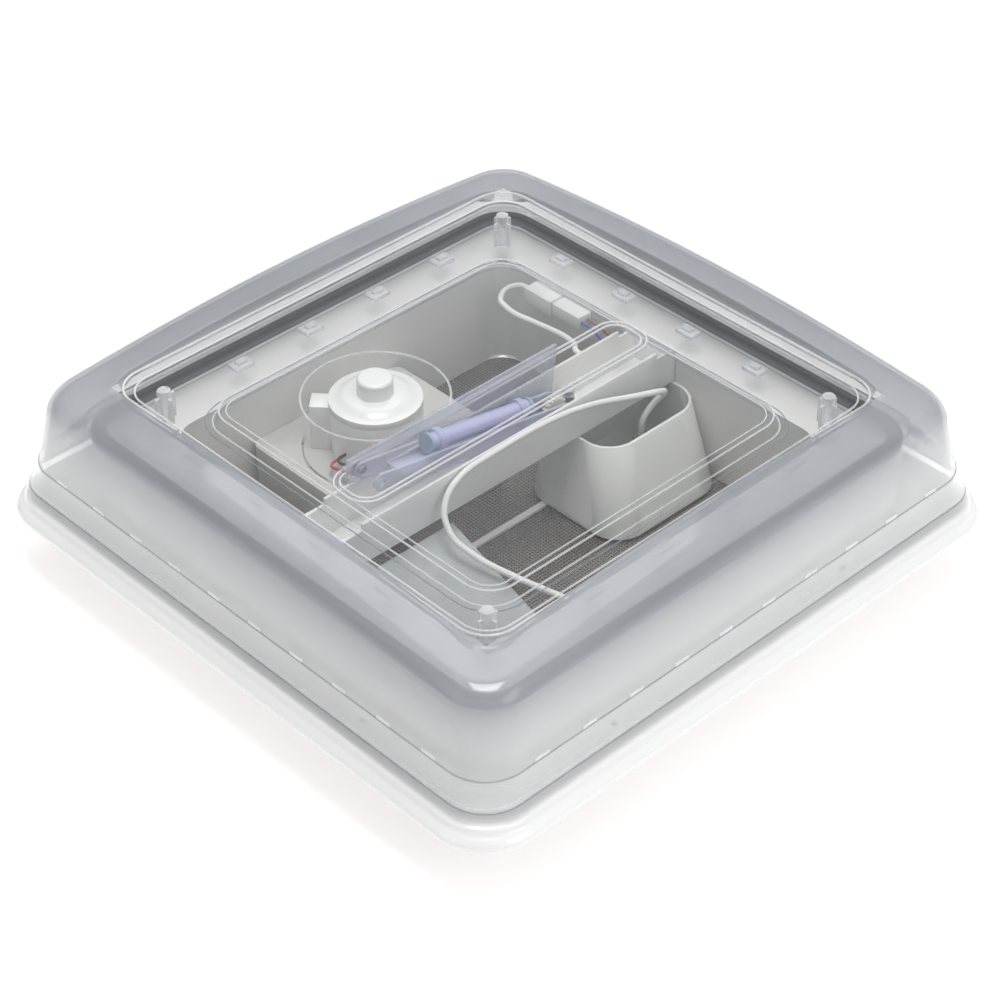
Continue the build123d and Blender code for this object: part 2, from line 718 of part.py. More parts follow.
with BuildPart() as hinge_pins:
    for centre in (-hinge_reach, hinge_reach):
        cross_pin(hinge_pin_radius, (centre - knuckle_end, centre + knuckle_end), hinge_y, hinge_z)
write(hinge_pins, "hinge_pins")

# Lift geometry. The arm is as long as the distance from hinge to pivot, so it turns twice the lid's angle
# while its slider runs along a straight track through the hinge axis.
arm_length = hypot(hinge_y - pivot_y, pivot_z - hinge_z)
base_angle = degrees(atan2(pivot_z - hinge_z, hinge_y - pivot_y))
arm_angle = degrees(asin((roller_z - pivot_z) / arm_length))
track_angle = (arm_angle + base_angle) / 2
roller_y = pivot_y - arm_length * cos(radians(arm_angle))
open_reach = 2 * arm_length * cos(radians(lid_opening + track_angle - base_angle))
open_y = hinge_y - open_reach * cos(radians(track_angle))
open_z = hinge_z + open_reach * sin(radians(track_angle))
arm_dir = (-cos(radians(arm_angle)), sin(radians(arm_angle)))
arm_up = (sin(radians(arm_angle)), cos(radians(arm_angle)))


def on_arm(along, above):
    """Gives the (y, z) of a point at a distance from the pivot along the arm and above its line."""
    return (pivot_y + along * arm_dir[0] + above * arm_up[0],
            pivot_z + along * arm_dir[1] + above * arm_up[1])


# Track plate that hangs from the slot's rim, with the sloped slot that the slider runs in
slot_half = slider_half_height + seat_gap
slot_over = slider_half_length + seat_gap
with BuildPart() as lift_track:
    near_end = roller_y - track_margin
    with BuildSketch(Plane.YZ.offset(-track_outer)) as plate:
        with BuildLine():
            Polyline((near_end, track_top), (track_far, track_top), (track_far_low, track_low),
                     (near_end, track_tip_low), close=True)
        make_face()
        slot_length = hypot(open_y - roller_y, open_z - roller_z) + 2 * slot_over
        slot_middle = ((roller_y + open_y) / 2, (roller_z + open_z) / 2, 0)
        with Locations(Location(slot_middle, (0, 0, -track_angle))):
            RectangleRounded(slot_length, 2 * slot_half, slider_pin_radius, mode=Mode.SUBTRACT)
    extrude(plate.sketch, amount=track_thick)
    block((-slot_outer, -track_outer), (near_end, track_far), (rim_top, rim_top + track_thick))
write(lift_track, "lift_track")

# Lift arm: two side plates joined by a web, with a hub at the pivot and a tip that carries the pin
plate_outer = arm_plate_inner + arm_plate_thick
with BuildPart() as lift_arm:
    with BuildSketch(Plane.YZ.offset(arm_plate_inner)) as side_plate:
        with Locations((pivot_y, pivot_z)):
            Circle(arm_hub_radius)
        with Locations((roller_y, roller_z)):
            Circle(arm_tip_radius)
        make_hull()
        with Locations((pivot_y, pivot_z)):
            Circle(axle_radius, mode=Mode.SUBTRACT)
        with Locations((roller_y, roller_z)):
            Circle(slider_pin_radius + running_gap, mode=Mode.SUBTRACT)
    extrude(side_plate.sketch, amount=arm_plate_thick)
    mirror(about=Plane.YZ)
    with BuildSketch(Plane.YZ.offset(-arm_plate_inner)) as web:
        with BuildLine():
            Polyline(on_arm(web_start, -arm_tip_radius / 2), on_arm(web_end, -arm_tip_radius / 2),
                     on_arm(web_end, -arm_tip_radius / 2 + web_thick),
                     on_arm(web_start, -arm_tip_radius / 2 + web_thick), close=True)
        make_face()
    extrude(web.sketch, amount=2 * arm_plate_inner)
    tube_plane = Plane(origin=(0, *on_arm(tube_start + cap_thick, tube_lift)), x_dir=(1, 0, 0),
                       z_dir=(0, *arm_dir))
    for place in (0, (tube_end - tube_start - 3 * cap_thick)):
        with BuildSketch(tube_plane.offset(place)) as saddle:
            with Locations((0, -tube_lift / 2)):
                Rectangle(2 * arm_plate_inner, tube_lift)
            Circle(arm_plate_inner)
            Circle(tube_radius, mode=Mode.SUBTRACT)
        extrude(saddle.sketch, amount=cap_thick)
write(lift_arm, "lift_arm")

# Steel tube along the arm, with a cap at each end
tube_axis = Plane(origin=(0, *on_arm(tube_start, tube_lift)), x_dir=(1, 0, 0), z_dir=(0, *arm_dir))
tube_span = tube_end - tube_start
with BuildPart() as arm_tube:
    with BuildSketch(tube_axis) as tube_section:
        Circle(tube_radius)
        Circle(tube_bore, mode=Mode.SUBTRACT)
    extrude(tube_section.sketch, amount=tube_span)
write(arm_tube, "arm_tube")

with BuildPart() as tube_caps:
    for start, step, plug in ((0, -cap_thick / 2, cap_thick), (tube_span, cap_thick / 2, -cap_thick)):
        with BuildSketch(tube_axis.offset(start)) as cap_outline:
            Circle(cap_radius)
        extrude(cap_outline.sketch, amount=step)
        with BuildSketch(tube_axis.offset(start)) as plug_outline:
            Circle(tube_bore)
        extrude(plug_outline.sketch, amount=plug)
write(tube_caps, "tube_caps")

# Arm axle, the pin that turns in the arm's tip, and the slider on it that runs in the track
with BuildPart() as arm_axle:
    cross_pin(axle_radius, (-axle_end, axle_end), pivot_y, pivot_z)
write(arm_axle, "arm_axle")

slider_inner = -track_outer + track_thick
with BuildPart() as slider_pin:
    cross_pin(slider_pin_radius, (-track_outer, -arm_plate_inner), roller_y, roller_z)
    cross_pin(slider_boss, (slider_inner + seat_gap, -plate_outer - seat_gap / 3), roller_y, roller_z)
write(slider_pin, "slider_pin")

with BuildPart() as track_slider:
    with BuildSketch(Plane.YZ.offset(-track_outer)) as shoe:
        with Locations(Location((roller_y, roller_z, 0), (0, 0, -track_angle))):
            RectangleRounded(2 * slider_half_length, 2 * slider_half_height, slider_pin_radius)
            Circle(slider_pin_radius, mode=Mode.SUBTRACT)
    extrude(shoe.sketch, amount=track_thick)
write(track_slider, "track_slider")

# Worm wheel on the axle
wheel_root = wheel_radius - gear_module * 6 / 5
wheel_tip = wheel_radius + gear_module * 9 / 10
tooth_width = tooth_share * pi * gear_module * 4 / 5
with BuildPart() as worm_wheel:
    with BuildSketch(Plane.YZ.offset(-wheel_thick / 2)) as gear:
        with Locations((pivot_y, pivot_z)):
            Circle(wheel_root)
            tooth_foot = wheel_root * 9 / 10
            with PolarLocations((tooth_foot + wheel_tip) / 2, wheel_teeth, start_angle=180 / wheel_teeth):
                Rectangle(wheel_tip - tooth_foot, tooth_width)
            Circle(axle_radius, mode=Mode.SUBTRACT)
    extrude(gear.sketch, amount=wheel_thick)
write(worm_wheel, "worm_wheel")

# Worm with one right-hand thread, on the shaft that runs down to the crank
thread_pitch = pi * gear_module
worm_root = worm_pitch_radius - gear_module * 5 / 4
worm_tip = worm_pitch_radius + gear_module * 9 / 10
thread_turns = int((worm_high - worm_low) / thread_pitch) - 1
thread_low = pivot_z - thread_pitch * (3 / 4 + (thread_turns - 1) // 2)
with BuildPart() as worm_shaft:
    disc(shaft_radius, crank_high, worm_low, y=worm_y)
    disc(worm_root, worm_low, worm_high, y=worm_y)
    thread_path = Helix(thread_pitch, thread_pitch * thread_turns, worm_root).moved(
        Location((0, worm_y, thread_low)))
    thread_start = Plane(origin=thread_path @ 0, x_dir=(1, 0, 0), z_dir=thread_path % 0)
    with BuildSketch(thread_start) as thread_outline:
        with BuildLine():
            depth, root_width = worm_tip - worm_root, thread_share * thread_pitch
            Polyline((-gear_module / 5, -root_width / 2), (depth, -root_width * 2 / 5),
                     (depth, root_width * 2 / 5), (-gear_module / 5, root_width / 2), close=True)
        make_face()
    sweep(thread_outline.sketch, path=thread_path, is_frenet=True)
write(worm_shaft, "worm_shaft")

# Crank handle under the screen, with a free-turning knob
with BuildPart() as crank_handle:
    crank_low = crank_high - crank_thick
    with BuildSketch(Plane.XY.offset(crank_low)) as handle:
        with Locations((0, worm_y)):
            Circle(crank_hub)
        with Locations((0, worm_y - crank_reach)):
            Circle(crank_width / 2)
        make_hull()
        with Locations((0, worm_y - crank_reach)):
            Circle(knob_pin_radius, mode=Mode.SUBTRACT)
    extrude(handle.sketch, amount=crank_thick)
write(crank_handle, "crank_handle")

with BuildPart() as knob_pin:
    knob_y = worm_y - crank_reach
    disc(knob_pin_radius, crank_low - knob_height - seat_gap, crank_high, y=knob_y)
write(knob_pin, "knob_pin")

with BuildPart() as crank_knob:
    disc(knob_radius, crank_low - knob_height, crank_low - seat_gap, y=knob_y)
    disc(knob_pin_radius + running_gap, crank_low - knob_height - cut, crank_low, y=knob_y,
         mode=Mode.SUBTRACT)
    fillet(crank_knob.faces().sort_by(Axis.Z)[0].edges().sort_by(SortBy.RADIUS)[-1:], radius=knob_round)
write(crank_knob, "crank_knob")


def bend_radii(points):
    """Gives each corner of a route the largest arc that its two runs allow."""
    corners = [Vector(*point) for point in points]
    radii = []
    for before, corner, after in zip(corners, corners[1:], corners[2:]):
        turn = radians((corner - before).get_angle(after - corner))
        shorter = min((corner - before).length, (after - corner).length)
        radii.append(bend_share * shorter / tan(turn / 2))
    return radii


def wire(radius, points, name):
    """Sweeps a round wire along a route of straight runs and arcs into the current part."""
    radii = bend_radii(points)
    with BuildLine(mode=Mode.PRIVATE) as route:
        FilletPolyline(*points, radius=radii)
    start = Plane(origin=route.line @ 0, z_dir=route.line % 0)
    with BuildSketch(start, mode=Mode.PRIVATE) as section:
        Circle(radius)
    sweep(section.sketch, path=route.wire())
    print(name, "length", round(route.wire().length, 1), "least bend", round(min(radii), 1))


# Connector block, seated against the liner's wall
plug_y = liner_half - seat_gap - plug_width / 2
plug_left, plug_right = plug_x - plug_length / 2, plug_x + plug_length / 2
with BuildPart() as connector_block:
    for left, right, trim in ((plug_left, plug_x - plug_step / 2, 0),
                              (plug_x + plug_step / 2, plug_right, plug_step)):
        block((left, right), (plug_y - plug_width / 2 + trim, plug_y + plug_width / 2),
              (plug_z - plug_height / 2 + trim, plug_z + plug_height / 2 - trim))
    block((plug_x - plug_step, plug_x + plug_step),
          (plug_y - plug_width / 3, plug_y + plug_width / 3),
          (plug_z - plug_height / 3, plug_z + plug_height / 3))
write(connector_block, "connector_block")

# White cable from the connector to the bridge, with the loop that it makes beside the wall
loop_route = [
    (plug_left, plug_y, plug_z), (-131.0, plug_y, plug_z), (-140.0, 143.5, 52.0), (-136.0, 133.0, 48.0),
    (-118.0, 130.0, 46.5), (-92.0, 132.5, 48.0), (-66.0, 130.0, 53.0), (-45.0, 122.0, 59.5),
    (-33.0, 110.0, 64.5), (-bridge_half, 110.0, 64.5),
]
with BuildPart() as loop_cable:
    wire(cable_radius, loop_route, "loop_cable")
write(loop_cable, "loop_cable")

# White supply cable from the board's terminal, along the bridge and down to the liner's wall
terminal_y = board_far - board_length / 4
terminal_top = board_low + board_height - board_thick
supply_route = [
    (board_x - plug_height / 4, terminal_y, terminal_top),
    (board_x - plug_height / 4, terminal_y, 28.0), (27.0, 129.0, 41.0),
    (35.0, 135.0, 53.0), (37.5, 121.0, 60.0), (34.0, 98.0, 65.0), (28.0, 74.0, 70.0), (24.8, 46.0, 74.5),
    (23.8, 12.0, 76.6), (24.1, -22.0, 76.4), (23.4, -50.0, 74.5), (24.6, -67.0, 67.5), (29.0, -77.0, 55.0),
    (40.0, -79.0, 41.0), (59.0, -70.0, 28.0), (84.0, -54.0, 16.0), (112.0, -36.0, 5.0), (138.0, -24.0, -3.0),
    (liner_half, -24.0, -3.0),
]
with BuildPart() as supply_cable:
    wire(cable_radius, supply_route, "supply_cable")
write(supply_cable, "supply_cable")

# Two leads from the connector's other end to the bridge
blue_route = [
    (plug_right, plug_y - plug_width / 5, plug_z), (-54.0, plug_y - plug_width / 5, plug_z),
    (-34.0, 144.0, 52.5), (-bridge_half, 144.0, 52.5),
]
brown_route = [
    (plug_right, plug_y + plug_width / 5, plug_z), (-54.0, plug_y + plug_width / 5, plug_z),
    (-34.0, 151.0, 55.0), (-bridge_half, 151.0, 55.0),
]
with BuildPart() as blue_lead:
    wire(lead_radius, blue_route, "blue_lead")
write(blue_lead, "blue_lead")
with BuildPart() as brown_lead:
    wire(lead_radius, brown_route, "brown_lead")
write(brown_lead, "brown_lead")

# Motor leads, from the can through the collar's notch to the bridge
can_near = fan_y - can_radius
red_route = [
    (fan_x, can_near, 25.0), (fan_x, -68.0, 25.0), (-90.0, -74.0, 27.0), (-77.0, -72.0, 29.0),
    (-56.0, -66.5, 32.0), (-35.0, -70.0, 45.0), (-bridge_half, -70.0, 45.0),
]
black_route = [
    (fan_x + 4 * lead_radius, can_near, 30.0), (fan_x + 4 * lead_radius, -67.0, 30.0), (-84.0, -70.5, 31.5),
    (-71.0, -68.0, 34.0), (-54.0, -61.5, 38.0), (-35.0, -64.0, 50.0), (-bridge_half, -64.0, 50.0),
]
with BuildPart() as red_lead:
    wire(lead_radius, red_route, "red_lead")
write(red_lead, "red_lead")
with BuildPart() as black_lead:
    wire(lead_radius, black_route, "black_lead")
write(black_lead, "black_lead")

# Clear deflector sheet that slopes from the bridge down to the +X wall, in the near corner
deflector_left = bridge_half + seat_gap
deflector_right = liner_half - liner_corner / 2
with BuildPart() as corner_deflector:
    with BuildSketch(Plane.XZ.offset(-deflector_start)) as slope:
        with BuildLine():
            Polyline((deflector_left, deflector_high), (deflector_right, deflector_low),
                     (deflector_right, deflector_low - deflector_thick),
                     (deflector_left, deflector_high - deflector_thick), close=True)
        make_face()
    extrude(slope.sketch, amount=liner_half - seat_gap + deflector_start)
    with BuildSketch(Plane.XY.offset(deflector_low - cut)) as plan:
        with BuildLine():
            Polyline((deflector_left, deflector_start), (deflector_right * 2 / 3, deflector_start),
                     (deflector_right, -liner_half / 2), (deflector_right, -liner_half + liner_corner),
                     (deflector_right - liner_corner / 2, -liner_half + seat_gap),
                     (deflector_left, -liner_half + seat_gap), close=True)
        make_face()
    extrude(plan.sketch, amount=deflector_high + 2 * cut - deflector_low, mode=Mode.INTERSECT)
write(corner_deflector, "corner_deflector")
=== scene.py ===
import math
import bmesh
import bpy
import numpy as np
from mathutils import Matrix, Vector


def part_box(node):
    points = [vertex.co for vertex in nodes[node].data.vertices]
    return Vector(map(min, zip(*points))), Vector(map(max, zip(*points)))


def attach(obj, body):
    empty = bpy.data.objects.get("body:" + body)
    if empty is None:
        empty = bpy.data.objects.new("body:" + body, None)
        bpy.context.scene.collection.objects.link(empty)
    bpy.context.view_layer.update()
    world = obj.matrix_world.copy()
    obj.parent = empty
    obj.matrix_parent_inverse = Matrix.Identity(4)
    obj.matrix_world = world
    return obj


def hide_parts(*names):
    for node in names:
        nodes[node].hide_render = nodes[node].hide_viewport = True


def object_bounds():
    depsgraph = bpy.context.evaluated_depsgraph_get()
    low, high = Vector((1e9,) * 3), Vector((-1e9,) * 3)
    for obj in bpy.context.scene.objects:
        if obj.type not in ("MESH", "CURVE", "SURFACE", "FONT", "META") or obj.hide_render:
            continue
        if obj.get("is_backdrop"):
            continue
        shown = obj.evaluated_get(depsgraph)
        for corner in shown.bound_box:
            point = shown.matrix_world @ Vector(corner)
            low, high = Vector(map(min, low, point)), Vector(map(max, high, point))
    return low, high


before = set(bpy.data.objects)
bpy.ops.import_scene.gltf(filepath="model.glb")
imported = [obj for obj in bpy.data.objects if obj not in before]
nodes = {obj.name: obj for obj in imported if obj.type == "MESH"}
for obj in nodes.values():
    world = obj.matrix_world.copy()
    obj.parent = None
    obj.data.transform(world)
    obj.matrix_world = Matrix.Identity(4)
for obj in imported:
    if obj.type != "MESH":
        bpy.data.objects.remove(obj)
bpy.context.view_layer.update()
scene = bpy.context.scene
mm = 0.001

# Camera, at the photograph's viewing angle
cameraView = {
    "azimuth": 46.36, "elevation": 38.26, "roll": -0.27,
    "distance": 1764.52, "target": (49.48, -43.54, 60.0),   # mm
    "lens": 95.17, "sensor": 36.0,
}


def makeCamera(view):
    # back = (sin a cos e, -cos a cos e, sin e), and the roll turns right and up about it
    azimuth, elevation = math.radians(view["azimuth"]), math.radians(view["elevation"])
    roll = math.radians(view["roll"])
    back = Vector((math.sin(azimuth) * math.cos(elevation), -math.cos(azimuth) * math.cos(elevation),
                   math.sin(elevation)))
    flatRight = Vector((math.cos(azimuth), math.sin(azimuth), 0))
    flatUp = back.cross(flatRight)
    right = flatRight * math.cos(roll) + flatUp * math.sin(roll)
    up = flatUp * math.cos(roll) - flatRight * math.sin(roll)
    data = bpy.data.cameras.new("camera")
    data.lens, data.sensor_width = view["lens"], view["sensor"]
    camera = bpy.data.objects.new("camera", data)
    scene.collection.objects.link(camera)
    place = (Vector(view["target"]) + back * view["distance"]) * mm
    camera.matrix_world = Matrix.Translation(place) @ Matrix((right, up, back)).transposed().to_4x4()
    scene.camera = camera


makeCamera(cameraView)
print("camera placed")


# Surfaces: profiles carried round a rounded square
def squarePath(cornerSteps, sideSteps):
    # Unit path: reach scales (half side - corner) and normal scales the corner radius
    signs = np.array([[1, 1], [-1, 1], [-1, -1], [1, -1]], float)
    quarter = np.arange(4)[:, None] * np.pi / 2
    cornerTurn = quarter + np.linspace(0, np.pi / 2, cornerSteps)
    cornerReach = np.repeat(signs[:, None], cornerSteps, axis=1)
    share = (np.arange(1, sideSteps) / sideSteps)[None, :, None]
    sideReach = signs[:, None] * (1 - share) + np.roll(signs, -1, axis=0)[:, None] * share
    sideTurn = np.repeat(quarter + np.pi / 2, sideSteps - 1, axis=1)
    reach = np.concatenate([cornerReach, sideReach], axis=1).reshape(-1, 2)
    turn = np.concatenate([cornerTurn, sideTurn], axis=1).ravel()
    return reach, np.stack([np.cos(turn), np.sin(turn)], axis=-1)


def carry(rows, cornerSteps=14, sideSteps=24):
    # Row (half x, half y, corner, height) gives the ring (half - corner) reach + corner normal
    reach, normal = squarePath(cornerSteps, sideSteps)
    rows = np.asarray(rows, float)
    flat = (rows[:, None, :2] - rows[:, None, 2:3]) * reach[None] + rows[:, None, 2:3] * normal[None]
    height = np.repeat(rows[:, None, 3:4], len(reach), axis=1)
    return np.concatenate([flat, height], axis=-1)


def soften(rows, setback, steps=5, closed=False, mostShare=0.48):
    # Each corner b between a and c becomes (1-t)^2 a + 2t(1-t) b + t^2 c, over a short setback
    rows = np.asarray(rows, float)
    share = np.linspace(0, 1, steps)[:, None]
    made = []

    def towards(corner, other):
        # The setback along one side, or less than half of a short side
        span = max(np.linalg.norm(other - corner), 1e-6)
        return corner + (other - corner) * min(setback / span, mostShare)

    for index in range(len(rows)):
        if not closed and index in (0, len(rows) - 1):
            made.append(rows[index:index + 1])
            continue
        before, corner, after = rows[index - 1], rows[index], rows[(index + 1) % len(rows)]
        start, end = towards(corner, before), towards(corner, after)
        made.append((1 - share) ** 2 * start + 2 * share * (1 - share) * corner + share ** 2 * end)
    return np.concatenate(made)


def gridObject(name, points, capped=False, closedProfile=False):
    # Quads between rings of points, with the last ring capped or joined to the first
    ringCount, ringSize = points.shape[:2]
    index = np.arange(ringCount * ringSize).reshape(ringCount, ringSize)
    if closedProfile:
        index = np.concatenate([index, index[:1]])
    low, high = index[:-1], index[1:]
    quads = np.stack([low, np.roll(low, -1, 1), np.roll(high, -1, 1), high], axis=-1).reshape(-1, 4)
    faces = quads.tolist()
    if capped:
        faces.append(index[-1].tolist())
    mesh = bpy.data.meshes.new(name)
    mesh.from_pydata((points.reshape(-1, 3) * mm).tolist(), [], faces)
    mesh.polygons.foreach_set("use_smooth", np.ones(len(faces), bool))
    piece = bpy.data.objects.new(name, mesh)
    scene.collection.objects.link(piece)
    return piece


def blocksObject(name, lows, highs):
    # One closed box per row of low and high corners, all in one mesh
    lows, highs = np.asarray(lows, float), np.asarray(highs, float)
    pick = np.array([[0, 0, 0], [1, 0, 0], [1, 1, 0], [0, 1, 0],
                     [0, 0, 1], [1, 0, 1], [1, 1, 1], [0, 1, 1]])
    corners = lows[:, None] + (highs - lows)[:, None] * pick[None]
    sides = np.array([[0, 3, 2, 1], [4, 5, 6, 7], [0, 1, 5, 4],
                      [1, 2, 6, 5], [2, 3, 7, 6], [3, 0, 4, 7]])
    faces = (np.arange(len(lows))[:, None, None] * 8 + sides[None]).reshape(-1, 4)
    mesh = bpy.data.meshes.new(name)
    mesh.from_pydata((corners.reshape(-1, 3) * mm).tolist(), [], faces.tolist())
    piece = bpy.data.objects.new(name, mesh)
    scene.collection.objects.link(piece)
    return piece


def solidify(piece, wall):
    shell = piece.modifiers.new("wall", "SOLIDIFY")
    shell.thickness = wall * mm
    shell.offset = -1
    shell.use_even_offset = True


def splitSharp(piece, angle):
    split = piece.modifiers.new("sharp", "EDGE_SPLIT")
    split.split_angle = math.radians(angle)
    split.use_edge_sharp = False


# Lid dome: leaning walls, a soft shoulder under a crowned top, and a sunken window
dome = {
    "skirtHalf": 238.8, "skirtLow": 23.7, "stepHalf": 233.5, "stepHeight": 40.0,
    "shoulderHalf": 226.4, "shoulderRound": 16.0, "corner": 31.0,
    "crown": 119.5, "crownRadius": 2190.0,
    "windowHalf": 187.4, "windowCorner": 25.0, "windowHeight": 103.5, "recessRound": 2.2, "wall": 3.0,
    "lipInset": 0.8, "lipRise": 1.2, "flareFoot": 2.0, "flarePower": 1.8, "cornerEase": 0.6,
    "recessShares": (0.35, 0.7, 0.9), "recessLean": 0.4,
    "windowInsets": (0.8, 1.6, 6.0, 30.0), "windowCornerLoss": 8.0, "sharp": 50.0,
}


def makeDome(size):
    # Height = (1 - w) base + w (crown(x, y) + lift), where crown is a sphere's cap
    turn = np.linspace(0, np.pi / 2, 10)
    drop = size["shoulderRound"]
    lip = [(size["skirtHalf"] - size["lipInset"], size["skirtLow"]),
           (size["skirtHalf"], size["skirtLow"] + size["lipRise"])]
    flare = np.linspace(0, 1, 9)
    flareHalf = (size["stepHalf"]
                 + (size["skirtHalf"] - size["stepHalf"]) * (1 - flare) ** size["flarePower"])
    flareLow = size["skirtLow"] + size["flareFoot"]
    flareHeight = flareLow + (size["stepHeight"] - flareLow) * flare
    wallShare = np.linspace(0, 1, 12)[1:]
    # Each part is half side, corner, base height, weight w and lift
    parts = [(half, size["corner"], height, 0, 0)
             for half, height in (*lip, *zip(flareHalf, flareHeight))]
    for share in wallShare:
        half = size["stepHalf"] + (size["shoulderHalf"] - size["stepHalf"]) * share
        parts.append((half, size["corner"], size["stepHeight"], share, -drop))
    for angle in turn[1:]:
        inset = drop * (1 - math.cos(angle))
        parts.append((size["shoulderHalf"] - inset, size["corner"] - inset * size["cornerEase"], 0, 1,
                      -drop * (1 - math.sin(angle))))
    endHalf, endCorner = parts[-1][0], parts[-1][1]
    rimHalf = size["windowHalf"] + size["recessRound"]
    for share in np.linspace(0, 1, 8)[1:]:
        parts.append((endHalf + (rimHalf - endHalf) * share,
                      endCorner + (size["windowCorner"] - endCorner) * share, 0, 1, 0))
    for angle in turn[1::2]:
        inset = size["recessRound"] * math.sin(angle)
        parts.append((rimHalf - inset, size["windowCorner"] - inset / 2, 0, 1,
                      -size["recessRound"] * (1 - math.cos(angle))))
    wallTop = parts[-1]
    for share in size["recessShares"]:
        parts.append((wallTop[0] - size["recessLean"] * share, wallTop[1], size["windowHeight"],
                      1 - share, wallTop[4]))
    for inset in size["windowInsets"]:
        parts.append((wallTop[0] - inset, wallTop[1] - min(inset, size["windowCornerLoss"]),
                      size["windowHeight"], 0, 0))
    table = np.array(parts)
    points = carry(np.stack([table[:, 0], table[:, 0], table[:, 1], table[:, 2]], axis=-1), 16, 36)
    across = (points[..., :2] ** 2).sum(-1)
    crown = size["crown"] - (size["crownRadius"] - np.sqrt(size["crownRadius"] ** 2 - across))
    weight, lift = table[:, 3:4], table[:, 4:5]
    points[..., 2] = (1 - weight) * points[..., 2] + weight * (crown + lift)
    piece = gridObject("domeShell", points, capped=True)
    solidify(piece, size["wall"])
    splitSharp(piece, size["sharp"])
    return piece


domeShell = makeDome(dome)
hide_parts("lid_dome")
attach(domeShell, "lid")
print("dome made")

# Inner pane: sloped rim, shelf, raised plateau and the rim round the arm's slot
pane = {
    "rimHalf": 229.3, "rimCorner": 31.0, "rimHeight": 45.8,
    "shelfHalf": 207.0, "shelfCorner": 24.0, "shelfHeight": 76.0,
    "ridgeHalf": 144.0, "plateauHalf": 140.0, "plateauCorner": 21.5, "plateauHeight": 85.0,
    "slotX": 16.3, "slotY": 133.0, "slotCorner": 12.0, "slotRim": 4.0, "slotHeight": 88.0,
    "wall": 2.5, "round": 1.6, "sharp": 50.0,
}


def makePane(size):
    # Rows of half x, half y, corner and height, from the rim over shelf, ridge and plateau to the slot
    rows = [
        (size["rimHalf"], size["rimHalf"], size["rimCorner"], size["rimHeight"]),
        (size["shelfHalf"], size["shelfHalf"], size["shelfCorner"], size["shelfHeight"]),
        (size["ridgeHalf"], size["ridgeHalf"], size["shelfCorner"], size["shelfHeight"]),
        (size["plateauHalf"], size["plateauHalf"], size["plateauCorner"], size["plateauHeight"]),
        (size["slotX"] + size["slotRim"], size["slotY"] + size["slotRim"],
         size["slotCorner"] + size["slotRim"], size["plateauHeight"]),
        (size["slotX"] + size["slotRim"], size["slotY"] + size["slotRim"],
         size["slotCorner"] + size["slotRim"], size["slotHeight"]),
        (size["slotX"], size["slotY"], size["slotCorner"], size["slotHeight"]),
    ]
    piece = gridObject("paneShell", carry(soften(rows, size["round"]), 12, 16))
    solidify(piece, size["wall"])
    splitSharp(piece, size["sharp"])
    return piece


paneShell = makePane(pane)
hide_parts("inner_pane")
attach(paneShell, "lid")

# Short moulded ribs along the lid's step, whitened as painted highlight dashes
ribs = {"count": 10, "pitch": 41.0, "length": 12.0, "reach": 232.8, "height": 44.0, "thick": 1.1}


def makeRimRibs(size):
    # Rib k of a side stands at (k - (count - 1) / 2) pitch along it
    along = (np.arange(size["count"]) - (size["count"] - 1) / 2) * size["pitch"]
    low, high = [], []
    halfLong, halfThick = size["length"] / 2, size["thick"] / 2
    for side in (-1, 1):
        for place in along:
            for middle, halves in (((side * size["reach"], place), (halfThick, halfLong)),
                                   ((place, side * size["reach"]), (halfLong, halfThick))):
                low.append((middle[0] - halves[0], middle[1] - halves[1], size["height"]))
                high.append((middle[0] + halves[0], middle[1] + halves[1],
                             size["height"] + 2 * size["thick"]))
    return blocksObject("rimRibs", low, high)


def makeBead(name, halfX, halfY, corner, height, radius, body="lid", centre=(0.0, 0.0)):
    # A round bead on a rounded rectangle: sides grow by radius cos(turn), height drops by radius sin(turn)
    turn = np.linspace(0, 2 * np.pi, 9)[:-1]
    out = radius * np.cos(turn)
    rows = np.stack([halfX + out, halfY + out, corner + out, height - radius * np.sin(turn)], axis=-1)
    points = carry(rows[::-1], 16, 2) + np.array([*centre, 0.0])
    piece = gridObject(name, points, closedProfile=True)
    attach(piece, body)
    return piece


# Beads on moulded edges: the bright ones are painted highlight lines, the dark ones painted shade lines
edges = {
    "ridge": 0.7, "ridgeLine": 0.5, "slot": 0.8, "window": 0.8, "collar": 0.9,
    "step": 0.6, "skirt": 0.7,
    "lineGap": 5.0, "windowGap": 8.0, "windowInset": 2.0, "windowLineCorner": 4.0, "shelfInset": 1.0,
    "stepRise": 3.2, "stepInset": 0.4,
}


